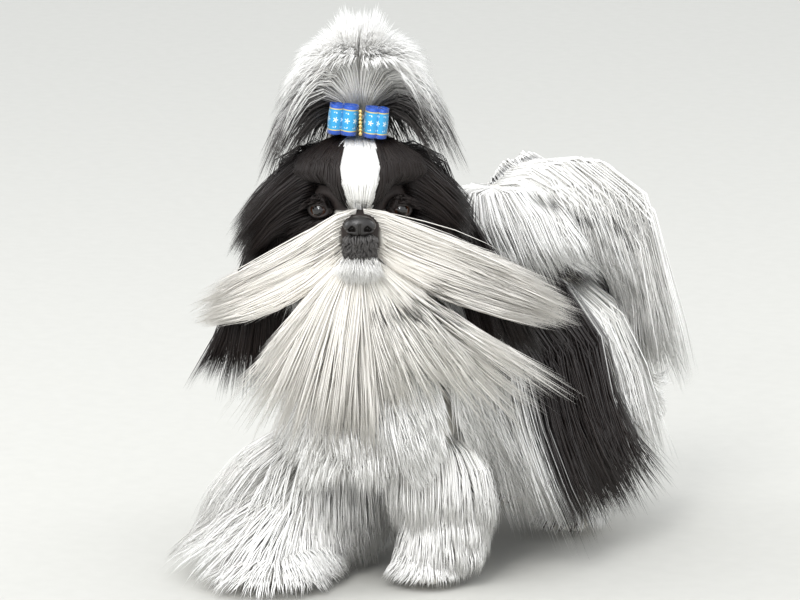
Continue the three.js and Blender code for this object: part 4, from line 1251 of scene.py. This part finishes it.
def crown_field():
    return grow(
        150, 26, 40,
        root=lambda u, v: surface_from(
            on_head(0, 2, 8), head_bearing(u * 100, lerp(1.3, -0.2, v)), [SKULL]),
        lead=lambda u, v: head_bearing(u * 90, lerp(0.3, -0.6, v)),
        hang=lambda u, v: head_bearing(u * 80) * (0.5, 0.5, 0) + (0, 0, -1),
        flick=lambda u, v: head_bearing(u * 76) * (0.55, 0.55, 0) + (0, 0, -1),
        length=lambda u, v: lerp(112, 92, v),
        lie=(6, 22), depth=6, width=1.8, wave=4, mark=1.0,
    )


def on_skull(s, degrees, rise):
    """Places on the skull: 0 degrees looks ahead, 90 to the side and 180 back."""
    a, e = np.radians(degrees), np.radians(rise)
    way = head_way(s * np.sin(a) * np.cos(e), -np.cos(a) * np.cos(e), np.sin(e))
    return surface_from(SKULL[0], way, [SKULL])


HOOD_REACH = {"left": (100, -30), "right": (112, -54)}  # how far out and down it falls


def hood_field(name):
    """Black hair that parts on the crown and falls out over the temple and the ear's root."""
    s = SIGN[name]
    far, low = HOOD_REACH[name]

    def guide(u, v):
        back = (u + 1) / 2
        root = on_skull(s, lerp(lerp(26, 66, v), 128, back), lerp(70, -30, v))
        start = in_head(root)
        y = start[:, 1]
        out = lerp(1.0, 0.86, v)
        first = on_head(s * (np.abs(start[:, 0]) + lerp(20, 12, v)), y - 2, start[:, 2] + lerp(1, -6, v))
        middle = on_head(s * far * out * 0.86, lerp(-34, 30, back), lerp(18, -20, v))
        tip = on_head(s * far * out * 1.02, lerp(-26, 44, back), low - 8 + 18 * (1 - v))
        return root, first, middle, tip

    return guided(
        160 + s, 36, 56, guide, width=1.7, mark=1.0, lie=(3, 12), depth=7, wave=2.5, locks=50,
        pull=(0.35, 0.4), loose=0.025,
    )


EAR_TIPS = {
    # Out, back and down, at the front edge of the flap and at its back edge.
    "left": ((104, 8, -172), (180, 40, -150)),
    "right": ((-46, -16, -180), (-166, 6, -172)),
}


def ear_field(name):
    """The ear's long fringe, blown out to the dog's side under the moustache."""
    s = SIGN[name]
    front, rear = [np.array(tip, float) for tip in EAR_TIPS[name]]

    def guide(u, v):
        root = ear_point(s, u * 0.9, lerp(-0.95, 0.9, v), EAR_THICK * 0.7)
        start = in_head(root)
        tip = lerp(front, rear, ((u + 1) / 2)[:, None]) + vec(-s * 16 * v, 0, 14 * v)
        first = on_head(start[:, 0] + s * lerp(34, 16, v), start[:, 1], start[:, 2] - lerp(6, 22, v))
        middle = on_head(
            lerp(start[:, 0], tip[:, 0], 0.58) + s * 8, lerp(start[:, 1], tip[:, 1], 0.6),
            lerp(start[:, 2], tip[:, 2], 0.72),
        )
        return root, first, middle, on_head(tip[:, 0], tip[:, 1], tip[:, 2])

    return guided(
        170 + s, 40, 44, guide, width=1.9, mark=1.0, lie=(6, 16), depth=10, wave=6, locks=60, short=0.32,
    )


MOUSTACHE_PATHS = {
    # Four places along the upper edge and four along the lower one, in the head's frame.
    "left": (
        ((3, -59, 6), (40, -62, -15), (110, -38, -24), (196, 12, -92)),
        ((15, -52, -40), (36, -64, -60), (102, -36, -92), (188, 8, -116)),
    ),
    "right": (
        ((-3, -59, 6), (-34, -62, -15), (-88, -38, -48), (-146, -6, -82)),
        ((-15, -52, -40), (-28, -62, -62), (-78, -38, -100), (-138, -4, -106)),
    ),
}


def moustache_field(name):
    """White hair that parts over the nose and sweeps out and down on both sides."""
    upper, lower = [np.array(path, float) for path in MOUSTACHE_PATHS[name]]

    def guide(u, v):
        share = (u[:, None] + 1) / 2
        deep = v[:, None]
        for top, bottom in zip(upper, lower):
            spot = lerp(top, bottom, share) + np.array([0, 9.0, 0]) * deep
            yield on_head(spot[:, 0], spot[:, 1], spot[:, 2])

    return guided(
        180 + SIGN[name], 30, 74, guide, width=1.6, mark=0.0, warm=0.2, lie=(1.5, 6), depth=4,
        wave=6, locks=70, strands=9, pull=(0.5, 0.35), short=0.5, sink=3,
    )


def beard_field():
    """Long hair that fans out from the chin over the chest, most of it to the dog's left."""
    def guide(u, v):
        side = np.abs(u)
        root = surface_from(JAW[1], head_way(u * 1.2, lerp(-0.9, 0.8, v), -0.8), [JAW])
        first = on_head(u * 30, lerp(-66, -50, v), -58 + 8 * side)
        middle = on_head(u * 74 + 8, lerp(-66, -36, v), -124 + 26 * side)
        tip_x = np.where(u < 0, u * 146, u * 206) + 10 * (1 - side)
        tip = on_head(tip_x, lerp(-56, -26, v) + 26 * side, -236 + (54 + 26 * (u > 0)) * side**2)
        return root, first, middle, tip

    return guided(
        190, 40, 72, guide, width=1.8, mark=0.0, warm=0.16, lie=(3, 12), depth=6, wave=10,
        locks=60, strands=9, pull=(0.5, 0.4), short=0.55, sink=3,
    )


def chin_field():
    return grow(
        195, 30, 34,
        root=lambda u, v: surface_from(JAW[1], head_way(u * 0.8, -1, lerp(0.1, -0.9, v)), [JAW]),
        lead=lambda u, v: head_way(u * 0.4, -0.9, -0.5),
        hang=lambda u, v: head_way(u * 0.5, -0.4, -1),
        flick=lambda u, v: head_way(u * 0.5, -0.2, -1),
        length=26, lie=(1, 5), depth=5, width=0.8, steps=4, wave=1.5, locks=40, mark=0.0,
        pull=(0.2, 0.3), loose=0.2, short=0.5,
    )


def muzzle_field():
    """Short dark fur in front of the muzzle, between the two halves of the moustache."""
    return grow(
        196, 34, 34,
        root=lambda u, v: surface_from(
            on_head(0, -44, -22), head_way(u * 0.5, -1, lerp(0.3, -1.0, v)), [MUZZLE, JAW]),
        lead=lambda u, v: head_way(u * 0.5, -0.7, -0.7),
        hang=lambda u, v: head_way(u * 0.5, -0.1, -1),
        flick=lambda u, v: head_way(u * 0.5, 0.0, -1),
        length=7, lie=(0.3, 1.2), depth=1.0, width=1.0, steps=3, wave=0.3, locks=20,
        sink=1.0, mark=0.92, loose=0.15,
    )


def blaze_field():
    """The white blaze: an egg of hair combed up from between the eyes, puffed out forward."""
    def guide(u, v):
        root = surface_from(SKULL[0], head_way(u * 0.17, -0.95, lerp(-0.16, 0.4, v)), [SKULL])
        round_off = 1 - u * u
        first = on_head(u * 15, -64 - 15 * round_off + 8 * v, 16 + 8 * v)
        middle = on_head(u * 47, -56 - 24 * round_off + 8 * v, 48 + 2 * v)
        return root, first, middle, on_head(u * 6, -32 + 4 * v, 60 + 4 * v)

    return guided(
        200, 26, 44, guide, width=1.1, mark=0.0, lie=(1, 1), depth=2.5, wave=0.5, locks=30,
        pull=(0.1, 0.3), short=0.02, loose=0.006,
    )


def brow_field(s):
    """A black puff of hair beside the blaze, combed up from over the eye to the band."""
    def guide(u, v):
        aside = (u + 1) / 2
        near = smooth(0.42, 0.08, aside)  # beside the blaze it comes down to the moustache
        root = on_skull(s, lerp(9, 62, aside), lerp(13, 36, v) - 20 * near * (1 - v) + 2 * aside)
        first = on_head(
            s * lerp(15, 66, aside), lerp(-74, -40, aside) + 10 * v, 17 + 8 * v - 15 * near * (1 - v))
        middle = on_head(s * lerp(30, 80, aside), lerp(-76, -26, aside) + 8 * v, 56 - 14 * aside)
        return root, first, middle, on_head(s * lerp(5, 9, aside), -26 + 12 * aside + 4 * v, 60 + 4 * v)

    return guided(
        210 + s, 22, 42, guide, width=1.6, mark=1.0, lie=(1, 1), depth=4, wave=1.6, locks=40,
        pull=(0.3, 0.45), short=0.05, loose=0.022,
    )


def lash_field(s):
    """Short hair above the eye, which leans out over its upper lid."""
    def guide(u, v):
        turn = np.radians(lerp(8, 172, (u + 1) / 2))
        middle = on_head(s * EYE_APART, -30, 0)
        root = on_head(
            s * (EYE_APART + 1) + 11 * np.cos(turn), lerp(-42, -36, v),
            0.5 + lerp(6.5, 12, v) * np.sin(turn))
        out = unit(root - middle)
        tip = root + out * 3 + head_way(s * 0.7, -0.3, -0.35) * 7
        return root, root + out * 3, root + out * 4 + (0, 0, -1), tip

    return guided(
        216 + s, 10, 40, guide, width=0.8, mark=1.0, lie=(0.5, 1.0), depth=1, wave=0.3, locks=20,
        steps=3, short=0.3,
    )


def under_eye_field(s):
    """Short black hair between the eye and the moustache, lying outwards."""
    def guide(u, v):
        far = (u + 1) / 2
        root = on_skull(s, lerp(22, 100, far), lerp(-16, -40, v))
        aside = head_way(s * 0.85, 0.1, -0.45) * lerp(15, 44, far)[:, None]
        out = unit(root - SKULL[0]) * lerp(3, 8, far)[:, None]
        return root, root + out + aside * 0.2, root + out + aside * 0.6, root + out + aside

    return guided(
        226 + s, 20, 36, guide, width=1.3, mark=1.0, lie=(0.5, 1.5), depth=2, wave=0.6, locks=20,
        steps=3, short=0.3,
    )


def topknot_field():
    """A fountain of hair over the band: upright inside, arching over outside, and falling past
    the sides and back of the head. White above, black beneath, and open in front."""
    tiers = np.array([0.0, 0.32, 0.54, 0.72, 0.86, 1.0])
    shapes = np.array([
        # out from the stem and up from the head's middle, for each tier, at four places
        [[3, 76], [2, 118], [10, 156], [14, 172]],
        [[4, 76], [12, 124], [42, 158], [60, 122]],
        [[5, 75], [22, 122], [66, 136], [74, 76]],
        [[6, 74], [28, 114], [76, 120], [92, 20]],
        [[6, 73], [24, 102], [64, 104], [84, 12]],
        [[8, 70], [18, 86], [46, 86], [68, 24]],
    ])

    def tier_of(u, v):
        front = np.abs(u)  # 0 looks back and 1 ahead
        return v**0.8 * lerp(1.0, 0.36, smooth(0.62, 0.76, front))

    def guide(u, v):
        w = tier_of(u, v)
        way = head_bearing(u * 180)
        for k in range(4):
            out = np.interp(w, tiers, shapes[:, k, 0])
            high = np.interp(w, tiers, shapes[:, k, 1])
            yield on_head(BAND_AT[0], BAND_AT[1], high) + way * out[:, None]

    return guided(
        220, 52, 68, guide, width=1.7, steps=5, sink=0, depth=3, lie=(1, 4), wave=3, locks=40,
        strands=8, pull=(0.28, 0.3), short=0.2, loose=0.025,
        mark=lambda u, v: smooth(0.50, 0.80, tier_of(u, v) + 0.08 * np.sin(u * 47)) * 0.97,
    )


def tail_side_field(s):
    """The plume: long behind the hips, and on the near side short over the back."""
    def root(u, v):
        at = tail_line(lerp(0.4, 1.0, (u + 1) / 2))
        return at + vec(s * lerp(0, 8.5, v), 0, lerp(9, -1, v))

    def toward(side, ahead, behind, rise):
        """A way whose pull to the rear grows from the tail's root to its tip."""
        return lambda u, v: vec(
            s * side(v), lerp(behind, ahead, (u + 1) / 2), rise(v))

    return grow(
        230 + s, 42, 60,
        root=root,
        lead=toward(lambda v: lerp(0.42, 0.7, v), 0.7, 0.0, lambda v: lerp(0.1, -0.4, v)),
        hang=toward(lambda v: lerp(0.26, 0.12, v), 0.62, 0.0, lambda v: -0.95),
        flick=toward(lambda v: 0.14, 0.42, 0.1, lambda v: -0.98),
        length=lambda u, v: lerp(lerp(240 if s > 0 else 216, 180, v), 130, smooth(-0.3, 0.7, u)),
        lie=(3, 12), depth=6, width=2.1, wave=5, locks=60, mark=0.0, sink=2, short=0.35,
        pull=(0.4, 0.3), loose=0.035,
    )


def tail_tip_field():
    """Hair of the tail's tip, which falls forward and down on to the back."""
    return grow(
        236, 24, 44,
        root=lambda u, v: (
            tail_line(lerp(1.0, 0.84, v)) + bearing(180 + u * 112) * lerp(1, 7, v)[:, None]
            + vec(0, 0, 7 - 8 * v)),
        lead=lambda u, v: bearing(180 + u * 112, lerp(0.2, -0.4, v)),
        hang=lambda u, v: bearing(180 + u * 112) * (0.4, 0.22, 0) + (0.2, 0.12, -1),
        flick=lambda u, v: bearing(180 + u * 112) * (0.2, 0.1, 0) + (0.25, 0.25, -1),
        length=112, lie=(3, 8), depth=6, width=2.0, wave=4, locks=40, mark=0.0, short=0.25, steps=4,
        pull=(0.3, 0.3), loose=0.03,
    )


def tail_back_field():
    return grow(
        240, 36, 46,
        root=lambda u, v: tail_line(lerp(0.54, 0.08, v)) + vec(u * 8, 7 - 3 * np.abs(u), 0),
        lead=lambda u, v: vec(u * 0.6, 0.34, lerp(-0.1, -0.8, v)),
        hang=lambda u, v: vec(u * 0.26, 0.02, -1),
        flick=lambda u, v: vec(u * 0.4, 0.16, -1),
        length=lambda u, v: lerp(222, 170, v),
        lie=(4, 12), depth=6, width=2.1, wave=6, locks=60, mark=0.0, sink=2, short=0.35,
        pull=(0.4, 0.3), loose=0.035, steps=4,
    )


def wisp_field():
    """A few loose locks that the stride lifts behind the hips."""
    def guide(u, v):
        far = (u + 1) / 2
        return (
            vec(20 + 16 * far, 250 + 4 * v, 200 - 20 * v), vec(56 + 10 * far, 312, 110 + 10 * v),
            vec(62, 328 + 8 * far, 40 + 60 * v), vec(56 + 6 * v, 338 + 7 * far, 70 + 60 * v),
        )

    return guided(
        245, 8, 16, guide, width=1.5, mark=0.0, lie=(4, 8), depth=4, wave=8, locks=12, strands=4,
        pull=(0.7, 0.5), short=0.3, steps=6,
    )


# How far the coat stands off the leg at three places, in mm, and how long it is above and below.
LEG_STYLE = {
    "fore_left": ((26, 44, 22), 84, 50),
    "fore_right": ((50, 74, 80), 112, 56),
    "hind_left": ((10, 14, 16), 92, 50),
    "hind_right": ((10, 14, 16), 92, 50),
}
BELL_LEAN = np.array([-0.839, -0.545, 0.0])  # the side to which the leading leg's coat swings


def leg_field(kind, name, rows, columns):
    """Furnishings all round a leg, from high on it down over the paw to the floor."""
    stand, longest, shortest = LEG_STYLE[f"{kind}_{name}"]
    leg = (FORE if kind == "fore" else HIND)[name]
    s = SIGN[name]
    high, knee, low = leg["upper"][0], leg["upper"][1], leg["lower"][1]

    def guide(u, v):
        facing = 180 + u * 180
        above = smooth(0.0, 1.0, v / 0.35)[:, None]
        below = np.clip((v - 0.35) / 0.65, 0, 1)[:, None]
        inside = lerp(lerp(lerp(high, knee, 0.45), knee, above), low, below)
        way = bearing(facing)
        root = surface_from(inside, way, [leg["upper"], leg["lower"]])
        room = 0.62 + 0.38 * np.sin(np.radians(facing)) * s
        if kind == "fore" and name == "right":
            room = room + 0.4 * np.clip((way * BELL_LEAN).sum(1), 0, 1)
        drop = lerp(longest, shortest, v)
        spots = [root]
        for out, share in zip(stand, (0.08, 0.55, 1.0)):
            spot = root + way * (out * room)[:, None]
            spot[:, 2] = np.maximum(root[:, 2] - drop * share, 4.0)
            spots.append(spot)
        return spots

    return guided(
        250 + s * (1 if kind == "fore" else 3), rows, columns, guide, width=1.8, mark=0.0,
        lie=(2, 3), depth=4, wave=3, locks=40, strands=8, pull=(0.25, 0.3), short=0.3, steps=4,
    )


PAW_COVER = {"fore_left": 14, "fore_right": 34, "hind_left": 14, "hind_right": 14}


def paw_field(kind, name, rows, columns):
    """Hair of the pastern that falls over the toes to the floor."""
    paw = (FORE if kind == "fore" else HIND)[name]["paw"]
    cover = PAW_COVER[f"{kind}_{name}"]

    def guide(u, v):
        way = bearing(180 + u * 180)
        ahead = 1 + 0.6 * np.clip(-way[:, 1], 0, 1)
        middle = lerp(paw[0], paw[1], 0.3 + 0.7 * v[:, None])
        root = surface_from(middle, bearing(180 + u * 180, lerp(1.0, 0.1, v)), [paw])
        spots = [root]
        for share, rise in ((0.5, 3.0), (0.95, -8.0), (1.0, -40.0)):
            spot = root + way * ((cover * share) * ahead)[:, None]
            spot[:, 2] = np.maximum(root[:, 2] + rise, 3.0)
            spots.append(spot)
        return spots

    return guided(
        270 + SIGN[name] * (1 if kind == "fore" else 3), rows, columns, guide, width=1.5, mark=0.0,
        lie=(1.5, 2), depth=6, wave=2, locks=25, steps=4, short=0.3, loose=0.04, pull=(0.3, 0.3),
    )


# ---- The add-on ----
class ShihTzuSizes(bpy.types.PropertyGroup):
    skin_depth: bpy.props.FloatProperty(
        name="Skin depth", description="How far the skin lies inside the solids' flesh, in mm",
        default=2.0, min=0.5, max=4.0)
    nose_width: bpy.props.FloatProperty(
        name="Nose width", description="Width of the nose leather, in mm", default=27.0, min=22.0, max=30.0)
    hair_width: bpy.props.FloatProperty(
        name="Hair width", description="Width of a body tuft at its widest, in mm",
        default=2.0, min=1.0, max=4.0)


class ShihTzuStage(bpy.types.PropertyGroup):
    key_power: bpy.props.FloatProperty(
        name="Key light", description="Power of the large soft light in front", default=52.0, unit="POWER")
    fill_power: bpy.props.FloatProperty(
        name="Fill light", description="Power of the soft light from the other side",
        default=24.0, unit="POWER")
    eye_power: bpy.props.FloatProperty(
        name="Eye light", description="Power of the small light that shows in the eyes", default=12.0,
        unit="POWER")
    air: bpy.props.FloatVectorProperty(
        name="Surroundings", description="Colour of the light from all round", subtype="COLOR",
        size=3, default=(0.80, 0.82, 0.85), min=0.0, max=1.0)


class SHIHTZU_OT_skin(bpy.types.Operator):
    """Builds the skin over the flesh, and the claws"""
    bl_idname = "shihtzu.skin"
    bl_label = "Skin and Claws"

    def execute(self, context):
        build_skin(context.scene.shihtzu_sizes.skin_depth)
        build_claws()
        return {"FINISHED"}


class SHIHTZU_OT_face(bpy.types.Operator):
    """Builds the eyes, lids and nose leather"""
    bl_idname = "shihtzu.face"
    bl_label = "Eyes, Lids and Nose"

    def execute(self, context):
        build_eyes()
        build_nose(context.scene.shihtzu_sizes.nose_width)
        return {"FINISHED"}


class SHIHTZU_OT_bow(bpy.types.Operator):
    """Builds the bow's ribbon loops, its bead bar and the band under it"""
    bl_idname = "shihtzu.bow"
    bl_label = "Bow and Band"

    def execute(self, context):
        build_bow()
        build_band()
        return {"FINISHED"}


class SHIHTZU_OT_body_coat(bpy.types.Operator):
    """Grows the coat of the sides, rump, chest and neck"""
    bl_idname = "shihtzu.body_coat"
    bl_label = "Body Coat"

    def execute(self, context):
        width = context.scene.shihtzu_sizes.hair_width
        for name in SIDES:
            coat_piece(f"coat_side_{name}", [side_field(SIGN[name], width)])
        coat_piece("coat_rump", [rump_field(width), back_field(width)])
        coat_piece("coat_chest", [chest_field(width)])
        coat_piece("coat_neck", [neck_field(width)])
        return {"FINISHED"}


class SHIHTZU_OT_head_coat(bpy.types.Operator):
    """Grows the coat of the crown, temples, brow and ears"""
    bl_idname = "shihtzu.head_coat"
    bl_label = "Head and Ear Coat"

    def execute(self, context):
        coat_piece("coat_crown", [crown_field()])
        coat_piece("coat_brow", [
            field(s) for s in (1, -1) for field in (brow_field, lash_field, under_eye_field)])
        coat_piece("coat_blaze", [blaze_field()])
        for name in SIDES:
            coat_piece(f"coat_hood_{name}", [hood_field(name)])
            coat_piece(f"coat_ear_{name}", [ear_field(name)])
        return {"FINISHED"}


class SHIHTZU_OT_beard(bpy.types.Operator):
    """Grows the moustache, the beard, the chin and the muzzle's short fur"""
    bl_idname = "shihtzu.beard"
    bl_label = "Moustache and Beard"

    def execute(self, context):
        for name in SIDES:
            coat_piece(f"coat_moustache_{name}", [moustache_field(name)])
        coat_piece("coat_beard", [beard_field(), chin_field()])
        coat_piece("coat_muzzle", [muzzle_field()])
        return {"FINISHED"}


class SHIHTZU_OT_topknot(bpy.types.Operator):
    """Grows the topknot over the band"""
    bl_idname = "shihtzu.topknot"
    bl_label = "Topknot"

    def execute(self, context):
        coat_piece("coat_topknot", [topknot_field()])
        return {"FINISHED"}


class SHIHTZU_OT_tail(bpy.types.Operator):
    """Grows the tail's plume, which falls over both hips and behind"""
    bl_idname = "shihtzu.tail"
    bl_label = "Tail Plume"

    def execute(self, context):
        coat_piece("coat_tail_left", [tail_side_field(1)])
        coat_piece("coat_tail_right", [tail_side_field(-1)])
        coat_piece("coat_tail_back", [tail_back_field(), tail_tip_field(), wisp_field()])
        return {"FINISHED"}


class SHIHTZU_OT_legs(bpy.types.Operator):
    """Grows the legs' furnishings and the paws' short fur"""
    bl_idname = "shihtzu.legs"
    bl_label = "Leg Coat"

    def execute(self, context):
        for name in SIDES:
            coat_piece(f"coat_fore_leg_{name}",
                       [leg_field("fore", name, 42, 66), paw_field("fore", name, 24, 46)])
            coat_piece(f"coat_hind_leg_{name}",
                       [leg_field("hind", name, 22, 36), paw_field("hind", name, 16, 30)])
        return {"FINISHED"}


class SHIHTZU_OT_stage(bpy.types.Operator):
    """Sets the floor, the soft lights and the camera"""
    bl_idname = "shihtzu.stage"
    bl_label = "Stage, Lights and Camera"

    def execute(self, context):
        build_stage(context.scene, context.scene.shihtzu_stage)
        return {"FINISHED"}


CAMERA_RIGHT = np.array([0.839, 0.545, 0.0])
CAMERA_UP = np.array([-0.104, 0.160, 0.982])
AIM = CAMERA_RIGHT * -2.7 + CAMERA_UP * 226.5  # what lies in the middle of the picture
CAMERA_FAR = 5127.5  # mm from there to the lens
LENS = 271.1
SENSOR = 36.0
PAPER_REACH = 12.0  # metres from the middle of the floor to its edge


def area_light(name, spot, size, power, target):
    data = bpy.data.lights.new(name, "AREA")
    data.shape = "DISK"
    data.size = size
    data.energy = power
    obj = bpy.data.objects.new(name, data)
    bpy.context.scene.collection.objects.link(obj)
    obj.location = spot
    obj.rotation_mode = "QUATERNION"
    obj.rotation_quaternion = (Vector(spot) - Vector(target)).to_track_quat("Z", "Y")
    return obj


def build_stage(scene, sizes):
    bm = bmesh.new()
    bmesh.ops.create_grid(bm, x_segments=2, y_segments=2, size=PAPER_REACH)
    mesh = mesh_of(bm, "floor")
    floor = bpy.data.objects.new("floor", mesh)
    scene.collection.objects.link(floor)
    mesh.materials.append(material("paper"))
    world = bpy.data.worlds.new("studio_air")
    world.use_nodes = True
    world.node_tree.nodes.clear()
    scene.view_settings.view_transform = "Standard"
    background = add(
        world.node_tree, "ShaderNodeBackground", {"Color": (*sizes.air, 1.0), "Strength": AIR_STRENGTH})
    add(world.node_tree, "ShaderNodeOutputWorld", {"Surface": background.outputs[0]})
    scene.world = world
    middle = Vector(place((0, 20, 220)))
    area_light("key", (0.4, -2.4, 2.6), 1.6, sizes.key_power, middle)
    area_light("fill", (-2.4, -1.2, 1.4), 1.6, sizes.fill_power, middle)
    area_light("rim", (1.8, 2.2, 2.2), 1.2, sizes.fill_power, middle)
    area_light("eye_light", (0.9, -2.6, 1.5), 0.3, sizes.eye_power, middle)
    data = bpy.data.cameras.new("camera")
    data.sensor_width = SENSOR
    data.lens = LENS
    data.clip_start, data.clip_end = 0.1, 60.0
    camera = bpy.data.objects.new("camera", data)
    scene.collection.objects.link(camera)
    back = np.cross(CAMERA_RIGHT, CAMERA_UP)
    turn = Matrix(np.stack([CAMERA_RIGHT, CAMERA_UP, back], 1).tolist()).normalized()
    camera.matrix_world = Matrix.Translation(Vector(place(AIM + back * CAMERA_FAR))) @ turn.to_4x4()
    scene.camera = camera


STEPS = (
    SHIHTZU_OT_stage, SHIHTZU_OT_skin, SHIHTZU_OT_face, SHIHTZU_OT_bow, SHIHTZU_OT_body_coat,
    SHIHTZU_OT_head_coat, SHIHTZU_OT_beard, SHIHTZU_OT_topknot, SHIHTZU_OT_tail, SHIHTZU_OT_legs,
)


class SHIHTZU_PT_panel(bpy.types.Panel):
    """Lists the steps and the sizes that they use"""
    bl_label = "Shih Tzu"
    bl_space_type = "VIEW_3D"
    bl_region_type = "UI"
    bl_category = "Shih Tzu"

    def draw(self, context):
        for group in (context.scene.shihtzu_sizes, context.scene.shihtzu_stage):
            for key in group.__annotations__:
                self.layout.prop(group, key)
        for step in STEPS:
            self.layout.operator(step.bl_idname)


CLASSES = (ShihTzuSizes, ShihTzuStage, *STEPS, SHIHTZU_PT_panel)


def register():
    for cls in CLASSES:
        bpy.utils.register_class(cls)
    bpy.types.Scene.shihtzu_sizes = bpy.props.PointerProperty(type=ShihTzuSizes)
    bpy.types.Scene.shihtzu_stage = bpy.props.PointerProperty(type=ShihTzuStage)


def unregister():
    del bpy.types.Scene.shihtzu_stage
    del bpy.types.Scene.shihtzu_sizes
    for cls in reversed(CLASSES):
        bpy.utils.unregister_class(cls)


def main():
    register()
    for step in STEPS:
        group, name = step.bl_idname.split(".")
        getattr(getattr(bpy.ops, group), name)()


if __name__ == "__main__":
    main()
